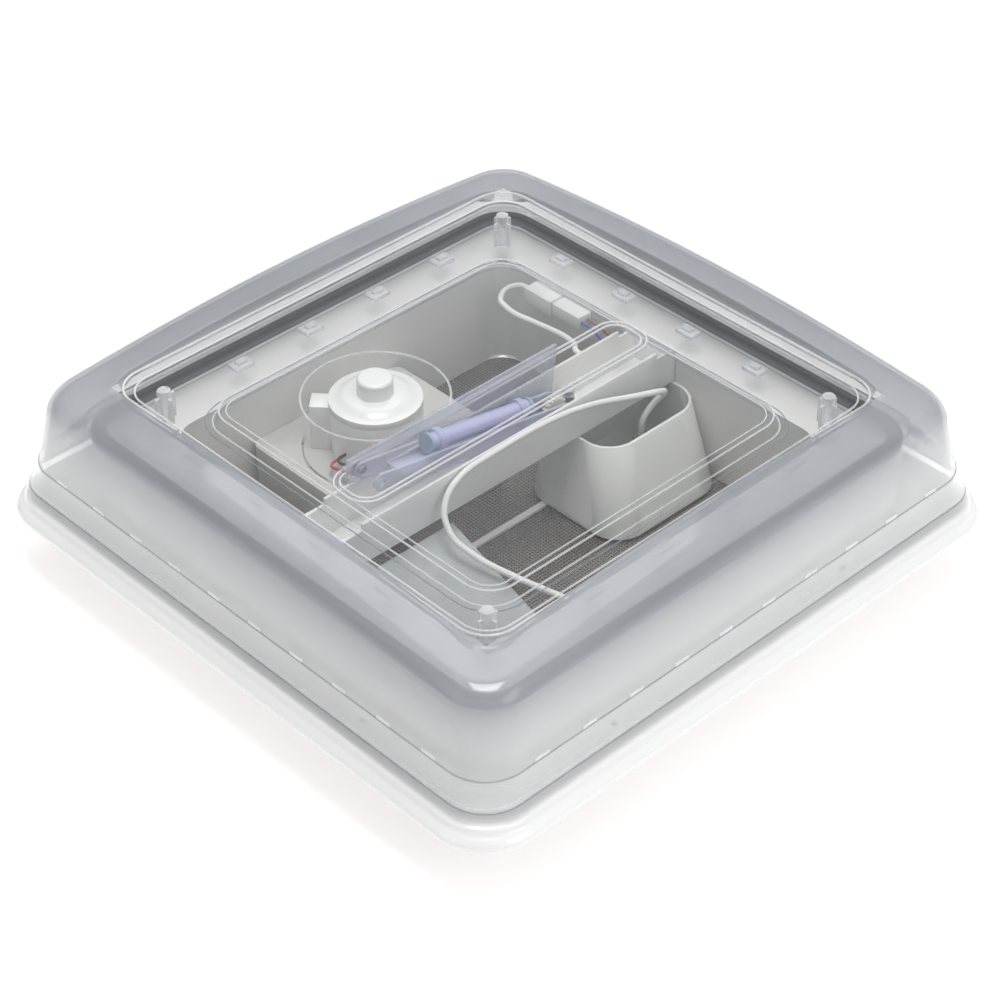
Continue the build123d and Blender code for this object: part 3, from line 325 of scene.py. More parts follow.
def makeEdges(size):
    # Each bead follows one edge of the pane, the dome or the collar: half sides, corner, height, radius
    ridge, plateau = pane["ridgeHalf"], pane["plateauHalf"]
    slotX, slotY, rim = pane["slotX"], pane["slotY"], pane["slotRim"]
    window, gap = dome["windowHalf"], size["lineGap"]
    windowFoot, windowLine = window - size["windowInset"], window - size["windowGap"]
    shelf, step = pane["shelfHalf"] - size["shelfInset"], dome["stepHalf"] - size["stepInset"]
    low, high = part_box("splash_collar")
    collarRadius = (high.x - low.x) / 2 / mm - size["collar"]
    collarCentre = ((high.x + low.x) / 2 / mm, (high.y + low.y) / 2 / mm)
    return [
        makeBead("ridgeFootBead", ridge, ridge, pane["shelfCorner"], pane["shelfHeight"],
                 size["ridge"]),
        makeBead("ridgeOuterBead", ridge + gap, ridge + gap, pane["shelfCorner"] + gap,
                 pane["shelfHeight"], size["ridgeLine"]),
        makeBead("ridgeTopBead", plateau, plateau, pane["plateauCorner"], pane["plateauHeight"],
                 size["ridge"]),
        makeBead("ridgeInnerBead", plateau - gap, plateau - gap, pane["plateauCorner"] - gap,
                 pane["plateauHeight"], size["ridgeLine"]),
        makeBead("slotOuterBead", slotX + rim, slotY + rim, pane["slotCorner"] + rim,
                 pane["slotHeight"], size["slot"]),
        makeBead("slotInnerBead", slotX, slotY, pane["slotCorner"], pane["slotHeight"], size["slot"]),
        makeBead("shelfBead", shelf, shelf, pane["shelfCorner"] - size["shelfInset"],
                 pane["shelfHeight"], size["ridge"]),
        makeBead("windowFootBead", windowFoot, windowFoot, dome["windowCorner"] - size["windowInset"],
                 dome["windowHeight"], size["window"]),
        makeBead("windowLineBead", windowLine, windowLine,
                 dome["windowCorner"] - size["windowLineCorner"], dome["windowHeight"] - dome["wall"],
                 size["ridge"]),
        makeBead("collarBead", collarRadius, collarRadius, collarRadius, high.z / mm, size["collar"],
                 "frame", collarCentre),
        makeBead("stepBead", step, step, dome["corner"], dome["stepHeight"] + size["stepRise"],
                 size["step"]),
        makeBead("skirtBead", dome["skirtHalf"], dome["skirtHalf"], dome["corner"],
                 dome["skirtLow"] + size["skirt"], size["skirt"]),
    ]


beads = makeEdges(edges)
rimRibs = makeRimRibs(ribs)
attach(rimRibs, "lid")
print("pane, beads and ribs made")

# Roof frame: one closed profile with the double-stepped flange, upstand, ledge and spigot
roofFrame = {
    "flangeHalf": 250.0, "flangeCorner": 41.0, "lipRound": 3.0, "lipHeight": 6.5,
    "grooveHalf": 244.5, "grooveHeight": 11.0, "stepHalf": 241.0, "flangeTop": 16.0,
    "upstandHalf": 206.0, "upstandCorner": 32.0, "upstandTop": 66.0, "upstandWall": 3.5,
    "sealHalf": 195.0, "sealThick": 3.0, "spigotHalf": 197.0, "spigotWall": 3.5, "spigotLow": -40.0,
    "cavityOuter": 236.0, "cavityInner": 212.0, "cavityTop": 12.0, "soft": 1.4, "sharp": 42.0,
    "lipShoulder": 9.5, "stepRound": 1.5, "topInset": 3.0,
    "grooveCornerLoss": 4.0, "stepCornerLoss": 6.0, "topCornerLoss": 9.0,   # each below flangeCorner
    "cavityCornerLoss": 14.0, "sealCornerLoss": 11.0,
    "screwReach": 222.0, "screwSpread": 110.0, "screwRadius": 2.25,
    "pinLength": 60.0, "pinMiddle": 10.0,
}


def makeRoofFrame(size):
    # A closed profile of (half side, corner, height), carried round and softened at each point
    corner = size["flangeCorner"]
    upstand, wall = size["upstandHalf"], size["upstandWall"]
    spigotCorner = size["upstandCorner"] - (upstand - size["spigotHalf"])
    spigotInside = (size["spigotHalf"] - size["spigotWall"], spigotCorner - size["spigotWall"])
    sealCorner = size["upstandCorner"] - size["sealCornerLoss"]
    sealLow = size["upstandTop"] - size["sealThick"]
    cavityCorner = corner - size["cavityCornerLoss"]
    profile = [
        (size["flangeHalf"] - size["lipRound"], corner - size["lipRound"], 0),
        (size["flangeHalf"], corner, size["lipRound"]),
        (size["flangeHalf"], corner, size["lipHeight"]),
        (size["flangeHalf"] - size["lipRound"], corner - size["lipRound"], size["lipShoulder"]),
        (size["grooveHalf"], corner - size["grooveCornerLoss"], size["grooveHeight"]),
        (size["stepHalf"] + size["stepRound"], corner - size["stepCornerLoss"],
         size["flangeTop"] - size["stepRound"]),
        (size["stepHalf"] - size["topInset"], corner - size["topCornerLoss"], size["flangeTop"]),
        (upstand, size["upstandCorner"], size["flangeTop"]),
        (upstand, size["upstandCorner"], size["upstandTop"]),
        (size["sealHalf"], sealCorner, size["upstandTop"]),
        (size["sealHalf"], sealCorner, sealLow),
        (upstand - wall, size["upstandCorner"] - wall, sealLow),
        (upstand - wall, size["upstandCorner"] - wall, size["cavityTop"]),
        (*spigotInside, size["cavityTop"]),
        (*spigotInside, size["spigotLow"]),
        (size["spigotHalf"], spigotCorner, size["spigotLow"]),
        (size["spigotHalf"], spigotCorner, 0),
        (size["cavityInner"], cavityCorner, 0),
        (size["cavityInner"], cavityCorner, size["cavityTop"]),
        (size["cavityOuter"], cavityCorner, size["cavityTop"]),
        (size["cavityOuter"], cavityCorner, 0),
    ]
    rows = [(half, half, turnIn, height) for half, turnIn, height in profile]
    points = carry(soften(rows, size["soft"], closed=True), 16, 8)
    piece = gridObject("frameShell", points, closedProfile=True)
    # Screw holes, cut by one mesh of pins
    pins = bmesh.new()
    reach, spread, radius = size["screwReach"], size["screwSpread"], size["screwRadius"] * mm
    for x, y in [(side * reach, other) for side in (-1, 1) for other in (-spread, spread)]:
        for place in ((x, y), (y, x)):
            middle = Vector((*place, size["pinMiddle"])) * mm
            bmesh.ops.create_cone(pins, cap_ends=True, segments=24, radius1=radius, radius2=radius,
                                  depth=size["pinLength"] * mm, matrix=Matrix.Translation(middle))
    pinMesh = bpy.data.meshes.new("screwPins")
    pins.to_mesh(pinMesh)
    pins.free()
    pinObject = bpy.data.objects.new("screwPins", pinMesh)
    scene.collection.objects.link(pinObject)
    cutting = piece.modifiers.new("holes", "BOOLEAN")
    cutting.object, cutting.operation, cutting.solver = pinObject, "DIFFERENCE", "EXACT"
    bpy.context.view_layer.update()
    finished = piece.evaluated_get(bpy.context.evaluated_depsgraph_get())
    cutMesh = bpy.data.meshes.new_from_object(finished)
    piece.modifiers.clear()
    piece.data = cutMesh
    bpy.data.objects.remove(pinObject)
    splitSharp(piece, size["sharp"])
    return piece


frameShell = makeRoofFrame(roofFrame)
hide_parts("roof_frame")
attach(frameShell, "frame")
print("roof frame made")


# Node groups shared by the materials
def newGroup(name, inputs, outputs):
    group = bpy.data.node_groups.new(name, "ShaderNodeTree")
    for label, kind, value in inputs:
        socket = group.interface.new_socket(name=label, in_out="INPUT", socket_type=kind)
        socket.default_value = value
    for label, kind in outputs:
        group.interface.new_socket(name=label, in_out="OUTPUT", socket_type=kind)
    return group, group.nodes.new("NodeGroupInput"), group.nodes.new("NodeGroupOutput")


def link(tree, source, target):
    tree.links.new(source, target)


def mathNode(tree, operation, first, second=None, clamp=False):
    node = tree.nodes.new("ShaderNodeMath")
    node.operation, node.use_clamp = operation, clamp
    for socket, value in zip(node.inputs, (first, second)):
        if value is None:
            continue
        if isinstance(value, (int, float)):
            socket.default_value = value
        else:
            link(tree, value, socket)
    return node.outputs[0]


def objectPlace(tree):
    return tree.nodes.new("ShaderNodeTexCoord").outputs["Object"]


def splitPlace(tree, place):
    split = tree.nodes.new("ShaderNodeSeparateXYZ")
    link(tree, place, split.inputs[0])
    return split.outputs


def noiseNode(tree, coordinate, scale, detail=3.0, stretch=None):
    if stretch:
        mapping = tree.nodes.new("ShaderNodeMapping")
        mapping.inputs["Scale"].default_value = stretch
        link(tree, coordinate, mapping.inputs["Vector"])
        coordinate = mapping.outputs[0]
    noise = tree.nodes.new("ShaderNodeTexNoise")
    noise.inputs["Detail"].default_value = detail
    link(tree, coordinate, noise.inputs["Vector"])
    if isinstance(scale, (int, float)):
        noise.inputs["Scale"].default_value = scale
    else:
        link(tree, scale, noise.inputs["Scale"])
    return noise.outputs["Fac"]


def mixColour(tree, factor, first, second):
    # Inputs 6 and 7 and output 2 are the colour sockets of a Mix node
    node = tree.nodes.new("ShaderNodeMix")
    node.data_type = "RGBA"
    link(tree, factor, node.inputs["Factor"])
    for socket, value in ((node.inputs[6], first), (node.inputs[7], second)):
        if isinstance(value, tuple):
            socket.default_value = (*value, 1)
        else:
            link(tree, value, socket)
    return node.outputs[2]


grain = {"detail": 2.0, "patchShade": 0.6, "patchGloss": 0.16}


def makeGrainGroup(size):
    # Moulded surface: slow changes of shade and gloss, and the height of a fine grain
    group, inside, outside = newGroup(
        "mouldedGrain",
        [("Colour", "NodeSocketColor", (0.8, 0.8, 0.8, 1)),
         ("Shade", "NodeSocketColor", (0.7, 0.7, 0.7, 1)),
         ("Patch scale", "NodeSocketFloat", 14.0), ("Grain scale", "NodeSocketFloat", 900.0),
         ("Gloss", "NodeSocketFloat", 0.3)],
        [("Colour", "NodeSocketColor"), ("Roughness", "NodeSocketFloat"),
         ("Height", "NodeSocketFloat")])
    place = objectPlace(group)
    patch = noiseNode(group, place, inside.outputs["Patch scale"])
    fine = noiseNode(group, place, inside.outputs["Grain scale"], size["detail"])
    shade = mathNode(group, "MULTIPLY", patch, size["patchShade"], clamp=True)
    link(group, mixColour(group, shade, inside.outputs["Colour"], inside.outputs["Shade"]),
         outside.inputs["Colour"])
    # Roughness = gloss + patchGloss (patch - 1/2)
    spread = mathNode(group, "MULTIPLY", patch, size["patchGloss"])
    rough = mathNode(group, "ADD", spread, inside.outputs["Gloss"])
    rough = mathNode(group, "SUBTRACT", rough, size["patchGloss"] / 2, clamp=True)
    link(group, rough, outside.inputs["Roughness"])
    link(group, fine, outside.inputs["Height"])
    return group


haze = {"scale": 9.0, "flowScale": 30.0, "flowStretch": (1.0, 1.0, 0.25), "detail": 2.0}


def makeHazeGroup(size):
    # Clear plastic: slow bands of haze and faint flow lines from the mould
    group, inside, outside = newGroup(
        "plasticHaze",
        [("Haze", "NodeSocketFloat", 0.1), ("Flow", "NodeSocketFloat", 0.3)],
        [("Haze", "NodeSocketFloat"), ("Height", "NodeSocketFloat")])
    place = objectPlace(group)
    slow = noiseNode(group, place, size["scale"], size["detail"])
    flow = noiseNode(group, place, size["flowScale"], size["detail"], stretch=size["flowStretch"])
    both = mathNode(group, "ADD", slow, mathNode(group, "MULTIPLY", flow, inside.outputs["Flow"]))
    milk = mathNode(group, "MULTIPLY", both, inside.outputs["Haze"], clamp=True)
    link(group, milk, outside.inputs["Haze"])
    link(group, slow, outside.inputs["Height"])
    return group


def makeWeaveGroup():
    # Net: threads where x or y is near a whole number of pitches, with height for the crossings
    group, inside, outside = newGroup(
        "netWeave", [("Pitch", "NodeSocketFloat", 0.0024), ("Thread", "NodeSocketFloat", 0.4)],
        [("Mask", "NodeSocketFloat"), ("Height", "NodeSocketFloat")])
    split = splitPlace(group, objectPlace(group))
    masks = []
    for axis in ("X", "Y"):
        turns = mathNode(group, "DIVIDE", split[axis], inside.outputs["Pitch"])
        part = mathNode(group, "FRACT", turns)
        fromMiddle = mathNode(group, "ABSOLUTE", mathNode(group, "SUBTRACT", part, 0.5))
        halfThread = mathNode(group, "MULTIPLY", inside.outputs["Thread"], 0.5)
        edge = mathNode(group, "SUBTRACT", 0.5, halfThread)
        masks.append(mathNode(group, "GREATER_THAN", fromMiddle, edge))
    link(group, mathNode(group, "MAXIMUM", masks[0], masks[1]), outside.inputs["Mask"])
    link(group, mathNode(group, "ADD", masks[0], masks[1]), outside.inputs["Height"])
    return group


grainGroup, hazeGroup, weaveGroup = makeGrainGroup(grain), makeHazeGroup(haze), makeWeaveGroup()


def newMaterial(name):
    material = bpy.data.materials.new(name)
    material.use_nodes = True
    tree = material.node_tree
    shader = next(node for node in tree.nodes if node.type == "BSDF_PRINCIPLED")
    return material, tree, shader


def placeGroup(tree, group, values):
    node = tree.nodes.new("ShaderNodeGroup")
    node.node_tree = group
    for label, value in values.items():
        node.inputs[label].default_value = (*value, 1) if isinstance(value, tuple) else value
    return node


def bumpInto(tree, shader, height, distance, strength=0.3):
    bump = tree.nodes.new("ShaderNodeBump")
    bump.inputs["Strength"].default_value = strength
    bump.inputs["Distance"].default_value = distance
    link(tree, height, bump.inputs["Height"])
    link(tree, bump.outputs[0], shader.inputs["Normal"])


def mouldedMaterial(name, colour, shade, gloss, patch=14.0, grain=900.0, depth=0.00004, coat=0.0,
                    coatRough=0.08, metal=0.0):
    # Patch and grain are noise scales, and depth is the grain's height in metres
    material, tree, shader = newMaterial(name)
    grainNode = placeGroup(tree, grainGroup, {"Colour": colour, "Shade": shade, "Patch scale": patch,
                                              "Grain scale": grain, "Gloss": gloss})
    link(tree, grainNode.outputs["Colour"], shader.inputs["Base Color"])
    link(tree, grainNode.outputs["Roughness"], shader.inputs["Roughness"])
    shader.inputs["Coat Weight"].default_value = coat
    shader.inputs["Coat Roughness"].default_value = coatRough
    shader.inputs["Metallic"].default_value = metal
    bumpInto(tree, shader, grainNode.outputs["Height"], depth)
    return material


acrylic = {
    "ior": 1.49, "shine": 0.6, "facingBlend": 0.5, "tintScale": 20.0, "tintShade": 0.88,
    "waveDepth": 0.0004, "waveStrength": 0.15,   # depth in metres
}


def bandedClear(tree, shader, bands, alpha):
    # Tint and milk by height, with dark streaks of painted reflection drawn out along x and y, and a
    # window that stays clear
    place = objectPlace(tree)
    split = splitPlace(tree, place)
    low, high = bands["low"] * mm, bands["high"] * mm
    share = mathNode(tree, "DIVIDE", mathNode(tree, "SUBTRACT", split["Z"], low), high - low)
    ramp = tree.nodes.new("ShaderNodeValToRGB")
    link(tree, share, ramp.inputs[0])
    stops = ramp.color_ramp.elements
    for stop, (height, tint, milk) in ((stops[0], bands["stops"][0]), (stops[1], bands["stops"][-1])):
        stop.position = (height - bands["low"]) / (bands["high"] - bands["low"])
        stop.color = (*tint, milk)
    for height, tint, milk in bands["stops"][1:-1]:
        stops.new((height - bands["low"]) / (bands["high"] - bands["low"])).color = (*tint, milk)
    # Painted reflection: dark streaks mixed into the colour, only above a share of the height
    noise = noiseNode(tree, place, bands["reflectionScale"], bands["reflectionDetail"],
                      stretch=bands["reflectionStretch"])
    paintedReflection = mathNode(tree, "MULTIPLY", mathNode(tree, "SUBTRACT", noise, bands["reflectionCut"]),
                      bands["reflectionGain"], clamp=True)
    above = mathNode(tree, "MULTIPLY", mathNode(tree, "SUBTRACT", share, bands["reflectionFrom"]),
                     bands["reflectionFade"], clamp=True)
    paintedReflection = mathNode(tree, "MULTIPLY", mathNode(tree, "MULTIPLY", paintedReflection, above), bands["reflectionShare"])
    colour = mixColour(tree, paintedReflection, ramp.outputs["Color"], bands["paintedReflection"])
    link(tree, colour, shader.inputs["Base Color"])
    alpha = mathNode(tree, "ADD", alpha, ramp.outputs["Alpha"], clamp=True)
    sides = [mathNode(tree, "ABSOLUTE", split[axis]) for axis in ("X", "Y")]
    widest = mathNode(tree, "MAXIMUM", sides[0], sides[1])
    inside = mathNode(tree, "LESS_THAN", widest, bands["flatHalf"] * mm)
    keep = mathNode(tree, "SUBTRACT", 1.0, mathNode(tree, "MULTIPLY", inside, bands["flatClear"]))
    return mathNode(tree, "MULTIPLY", alpha, keep)


def clearMaterial(name, colour, haze, edge, rough=0.06, power=3.0, bands=None, flow=0.3):
    # Alpha = haze + edge * facing^power, so a wall seen along its length is milky and a flat one clear
    material, tree, shader = newMaterial(name)
    hazeNode = placeGroup(tree, hazeGroup, {"Haze": haze, "Flow": flow})
    weight = tree.nodes.new("ShaderNodeLayerWeight")
    weight.inputs["Blend"].default_value = acrylic["facingBlend"]
    rim = mathNode(tree, "MULTIPLY", mathNode(tree, "POWER", weight.outputs["Facing"], power), edge)
    alpha = mathNode(tree, "ADD", hazeNode.outputs["Haze"], rim, clamp=True)
    if bands:
        alpha = bandedClear(tree, shader, bands, alpha)
    else:
        darker = tuple(value * acrylic["tintShade"] for value in colour)
        cloud = noiseNode(tree, objectPlace(tree), acrylic["tintScale"])
        link(tree, mixColour(tree, cloud, colour, darker), shader.inputs["Base Color"])
    link(tree, alpha, shader.inputs["Alpha"])
    shader.inputs["Roughness"].default_value = rough
    shader.inputs["IOR"].default_value = acrylic["ior"]
    shader.inputs["Specular IOR Level"].default_value = acrylic["shine"]
    bumpInto(tree, shader, hazeNode.outputs["Height"], acrylic["waveDepth"], acrylic["waveStrength"])
    return material


steel = {
    "colour": (0.62, 0.62, 0.64), "lineShade": 0.7, "rough": 0.25, "lineRough": 0.2,
    "lineScale": 300.0, "lineStretch": (0.1, 1.0, 1.0), "lineDepth": 0.00003,   # depth in metres
}


def steelMaterial(name, size):
    # Drawn steel: noise pulled out along x darkens and roughens it
    material, tree, shader = newMaterial(name)
    lines = noiseNode(tree, objectPlace(tree), size["lineScale"], stretch=size["lineStretch"])
    darker = tuple(value * size["lineShade"] for value in size["colour"])
    link(tree, mixColour(tree, lines, size["colour"], darker), shader.inputs["Base Color"])
    gloss = mathNode(tree, "ADD", mathNode(tree, "MULTIPLY", lines, size["lineRough"]), size["rough"])
    link(tree, gloss, shader.inputs["Roughness"])
    shader.inputs["Metallic"].default_value = 1.0
    bumpInto(tree, shader, lines, size["lineDepth"])
    return material


net = {
    "pitch": 0.0026, "thread": 0.46,   # metres between threads, and a thread's share of that
    "threadDark": (0.09, 0.078, 0.065), "threadLight": (0.24, 0.225, 0.21), "patchScale": 25.0,
    "holeShade": (0.012, 0.010, 0.008), "holeShadeCover": 0.7, "rough": 0.35, "patchRough": 0.2,
    "weaveDepth": 0.0003, "weaveStrength": 0.6,   # depth in metres
}


def netMaterial(name, size):
    # Base = a near-black hole colour outside the weave's mask, painted shade for the dark below the net,
    # and a patchy thread colour in it
    material, tree, shader = newMaterial(name)
    weave = placeGroup(tree, weaveGroup, {"Pitch": size["pitch"], "Thread": size["thread"]})
    patch = noiseNode(tree, objectPlace(tree), size["patchScale"])
    threads = mixColour(tree, patch, size["threadDark"], size["threadLight"])
    base = mixColour(tree, weave.outputs["Mask"], size["holeShade"], threads)
    link(tree, base, shader.inputs["Base Color"])
    # The holes stay mostly opaque, so their painted shade hides what lies below
    cover = mathNode(tree, "MULTIPLY", weave.outputs["Mask"], 1 - size["holeShadeCover"])
    link(tree, mathNode(tree, "ADD", cover, size["holeShadeCover"]), shader.inputs["Alpha"])
    gloss = mathNode(tree, "ADD", mathNode(tree, "MULTIPLY", patch, size["patchRough"]), size["rough"])
    link(tree, gloss, shader.inputs["Roughness"])
    bumpInto(tree, shader, weave.outputs["Height"], size["weaveDepth"], size["weaveStrength"])
    return material


# Finishes, each for the nodes and pieces that have it
domeBands = {   # heights in mm; each stop is height, tint and milkiness
    "low": 20.0, "high": 122.0, "flatHalf": 186.0, "flatClear": 0.93,
    # The dark colour on the next line is a painted reflection, streaked over the upper rim
    "paintedReflection": (0.16, 0.155, 0.15), "reflectionShare": 0.5, "reflectionFrom": 0.62, "reflectionFade": 5.0,
    "reflectionScale": 60.0, "reflectionStretch": (0.06, 0.06, 1.5), "reflectionDetail": 2.0,
    "reflectionCut": 0.48, "reflectionGain": 4.0,
    "stops": [
        # The near white band from 20 to 38 mm is painted light, brightening the shaded flange seen through
        # the skirt
        (20.0, (0.94, 0.94, 0.94), 0.20), (38.0, (0.94, 0.94, 0.94), 0.20),
        (44.0, (0.83, 0.83, 0.825), 0.24), (58.0, (0.78, 0.78, 0.78), 0.27),
        (74.0, (0.63, 0.64, 0.65), 0.34), (90.0, (0.45, 0.47, 0.50), 0.42),
        (99.0, (0.39, 0.415, 0.445), 0.44), (107.0, (0.33, 0.355, 0.385), 0.46),
        (115.0, (0.33, 0.355, 0.385), 0.45), (122.0, (0.40, 0.42, 0.44), 0.41),
    ],
}
clearLooks = {
    "domeClear": {
        "colour": (0.7, 0.74, 0.78), "haze": 0.10, "edge": 0.62, "power": 2.8, "bands": domeBands},
    "paneClear": {"colour": (0.42, 0.44, 0.47), "haze": 0.02, "edge": 0.8, "power": 3.4},
    "fittingClear": {
        "colour": (0.70, 0.74, 0.77), "haze": 0.24, "edge": 1.0, "rough": 0.04, "power": 1.5},
    "postClear": {"colour": (0.90, 0.92, 0.94), "haze": 0.34, "edge": 1.0, "rough": 0.04, "power": 1.5},
    "armClear": {"colour": (0.62, 0.65, 0.80), "haze": 0.26, "edge": 0.9, "rough": 0.05, "power": 1.6},
    "collarClear": {"colour": (0.90, 0.91, 0.92), "haze": 0.006, "edge": 0.06, "power": 4.0},
    "deflectorClear": {
        "colour": (0.56, 0.60, 0.61), "haze": 0.62, "edge": 0.5, "rough": 0.12, "power": 2.0,
        "flow": 0.9},
    # Near white milk on the ribs is a painted highlight
    "ribPaintedHighlight": {"colour": (0.94, 0.94, 0.95), "haze": 0.6, "edge": 0.5, "power": 2.0},
    "trackClear": {
        "colour": (0.66, 0.69, 0.78), "haze": 0.10, "edge": 1.0, "rough": 0.04, "power": 1.5},
    # Bead finishes: a dark painted shade line and a bright painted highlight line
    "beadPaintedShade": {"colour": (0.34, 0.36, 0.39), "haze": 0.6, "edge": 0.4, "power": 2.0},
    "beadPaintedHighlight": {"colour": (0.95, 0.96, 0.97), "haze": 0.55, "edge": 0.5, "power": 2.0},
}
mouldedLooks = {
    "frameWhite": {
        "colour": (0.81, 0.81, 0.805), "shade": (0.75, 0.75, 0.745), "gloss": 0.22, "patch": 8.0,
        "grain": 700.0, "depth": 0.00002, "coat": 0.5},
    "foamBrown": {
        "colour": (0.42, 0.33, 0.30), "shade": (0.30, 0.22, 0.20), "gloss": 0.8, "patch": 60.0,
        "grain": 600.0, "depth": 0.0006},
    "sealBlack": {
        "colour": (0.17, 0.175, 0.18), "shade": (0.09, 0.09, 0.095), "gloss": 0.4, "patch": 30.0,
        "grain": 800.0, "depth": 0.0001},
    "linerCream": {"colour": (0.80, 0.792, 0.775), "shade": (0.73, 0.722, 0.705), "gloss": 0.45},
    "bridgeGrey": {"colour": (0.84, 0.837, 0.825), "shade": (0.76, 0.758, 0.75), "gloss": 0.35},
    "wellGrey": {
        "colour": (0.80, 0.805, 0.785), "shade": (0.70, 0.715, 0.69), "gloss": 0.35, "patch": 9.0},
    "bushBlack": {"colour": (0.05, 0.05, 0.055), "shade": (0.02, 0.02, 0.02), "gloss": 0.4},
    "boardGreen": {
        "colour": (0.08, 0.26, 0.14), "shade": (0.04, 0.16, 0.08), "gloss": 0.4, "patch": 80.0},
    # Cream housing tone, darkened below the liner's as painted shade on the plate
    "housingCreamShaded": {"colour": (0.60, 0.595, 0.575), "shade": (0.52, 0.515, 0.495), "gloss": 0.45},
    "motorWhite": {
        "colour": (0.88, 0.88, 0.865), "shade": (0.80, 0.80, 0.785), "gloss": 0.22, "patch": 20.0,
        "grain": 700.0, "depth": 0.00002, "coat": 0.4},
    "plugWhite": {"colour": (0.84, 0.84, 0.82), "shade": (0.74, 0.74, 0.72), "gloss": 0.35},
    "cableWhite": {
        "colour": (0.84, 0.84, 0.83), "shade": (0.76, 0.76, 0.75), "gloss": 0.4, "patch": 60.0},
    "leadBlue": {
        "colour": (0.12, 0.18, 0.55), "shade": (0.07, 0.10, 0.38), "gloss": 0.35, "patch": 60.0},
    "leadBrown": {
        "colour": (0.32, 0.18, 0.11), "shade": (0.20, 0.10, 0.06), "gloss": 0.35, "patch": 60.0},
    "leadRed": {"colour": (0.62, 0.07, 0.05), "shade": (0.42, 0.04, 0.03), "gloss": 0.3, "patch": 60.0},
    "leadBlack": {
        "colour": (0.03, 0.03, 0.03), "shade": (0.01, 0.01, 0.01), "gloss": 0.3, "patch": 60.0},
    "leafGrey": {"colour": (0.68, 0.69, 0.71), "shade": (0.58, 0.59, 0.61), "gloss": 0.4},
    "gearNylon": {
        "colour": (0.80, 0.77, 0.70), "shade": (0.70, 0.67, 0.60), "gloss": 0.4, "patch": 60.0},
    "crankGrey": {
        "colour": (0.66, 0.66, 0.66), "shade": (0.56, 0.56, 0.56), "gloss": 0.4, "patch": 40.0},
    "rotorBlack": {
        "colour": (0.09, 0.09, 0.10), "shade": (0.05, 0.05, 0.05), "gloss": 0.4, "patch": 40.0},
    "tubeLilac": {
        "colour": (0.56, 0.57, 0.80), "shade": (0.44, 0.46, 0.68), "gloss": 0.16, "patch": 30.0,
        "grain": 500.0, "depth": 0.00002, "coat": 0.6, "metal": 0.35},
    "capTeal": {
        "colour": (0.42, 0.50, 0.58), "shade": (0.34, 0.40, 0.52), "gloss": 0.16, "patch": 60.0,
        "grain": 500.0, "depth": 0.00002, "coat": 0.6, "metal": 0.3},
}
finishes = {name: clearMaterial(name, **look) for name, look in clearLooks.items()}
finishes |= {name: mouldedMaterial(name, **look) for name, look in mouldedLooks.items()}
finishes["plainSteel"] = steelMaterial("plainSteel", steel)
finishes["netGrey"] = netMaterial("netGrey", net)
nodeFinishes = {
    "roof_gasket": "foamBrown", "frame_seal": "sealBlack", "inner_liner": "linerCream",
    "screen_frame": "linerCream", "insect_screen": "netGrey", "bridge_beam": "bridgeGrey",
    "hinge_brackets": "bridgeGrey", "winder_well": "wellGrey", "worm_bush": "bushBlack",
    "screen_bush": "bushBlack", "tube_caps": "capTeal", "control_board": "boardGreen",
    "fan_housing": "housingCreamShaded", "motor_can": "motorWhite", "motor_cap": "motorWhite",
    "motor_core": "plainSteel", "motor_shaft": "plainSteel", "motor_feet": "plainSteel",
    "arm_tube": "tubeLilac", "arm_axle": "plainSteel", "slider_pin": "plainSteel",
    "hinge_pins": "plainSteel", "knob_pin": "plainSteel", "worm_shaft": "plainSteel",
    "splash_collar": "collarClear", "corner_deflector": "deflectorClear",
    "connector_block": "plugWhite", "loop_cable": "cableWhite", "supply_cable": "cableWhite",
    "blue_lead": "leadBlue", "brown_lead": "leadBrown", "red_lead": "leadRed",
    "black_lead": "leadBlack",
    "corner_posts": "postClear", "pane_clips": "fittingClear", "lift_track": "trackClear",
    "lift_arm": "armClear", "track_slider": "fittingClear", "hinge_leaves": "leafGrey",
    "worm_wheel": "gearNylon", "crank_handle": "crankGrey", "crank_knob": "crankGrey",
    "fan_rotor": "rotorBlack", "roof_frame": "frameWhite", "lid_dome": "domeClear",
    "inner_pane": "paneClear",
}
bevelWidths = {   # mm
    "motor_cap": 0.8, "motor_can": 0.6, "connector_block": 0.6, "corner_posts": 0.4, "pane_clips": 0.5,
    "bridge_beam": 0.8, "winder_well": 0.7, "fan_housing": 0.8, "crank_handle": 0.8, "lift_track": 0.4,
}


def dress(piece, finish):
    piece.data.materials.clear()
    piece.data.materials.append(finishes[finish])


nodeEdges = {"weld": 0.000002, "bevelSegments": 2, "bevelAngle": 50.0, "sharp": 32.0}   # metres, degrees


def smoothNode(piece, bevelWidth, size):
    # The node's loose triangles are welded and shaded smooth up to sharp edges
    if "custom_normal" in piece.data.attributes:
        piece.data.attributes.remove(piece.data.attributes["custom_normal"])
    piece.data.polygons.foreach_set("use_smooth", np.ones(len(piece.data.polygons), bool))
    weld = piece.modifiers.new("weld", "WELD")
    weld.merge_threshold = size["weld"]
    if bevelWidth:
        bevel = piece.modifiers.new("edges", "BEVEL")
        bevel.width, bevel.segments = bevelWidth * mm, size["bevelSegments"]
        bevel.limit_method, bevel.angle_limit = "ANGLE", math.radians(size["bevelAngle"])
    splitSharp(piece, size["sharp"])


for nodeName, finish in nodeFinishes.items():
    dress(nodes[nodeName], finish)
    smoothNode(nodes[nodeName], bevelWidths.get(nodeName, 0), nodeEdges)
dress(domeShell, "domeClear")
dress(paneShell, "paneClear")
dress(rimRibs, "ribPaintedHighlight")
# Step, skirt, shelf and outer ridge beads are painted shade lines; the rest are painted highlight lines
shadeLineBeads = ("stepBead", "skirtBead", "ridgeOuterBead", "shelfBead")
for bead in beads:
    dress(bead, "beadPaintedShade" if bead.name in shadeLineBeads else "beadPaintedHighlight")
dress(frameShell, "frameWhite")
print("finishes placed")

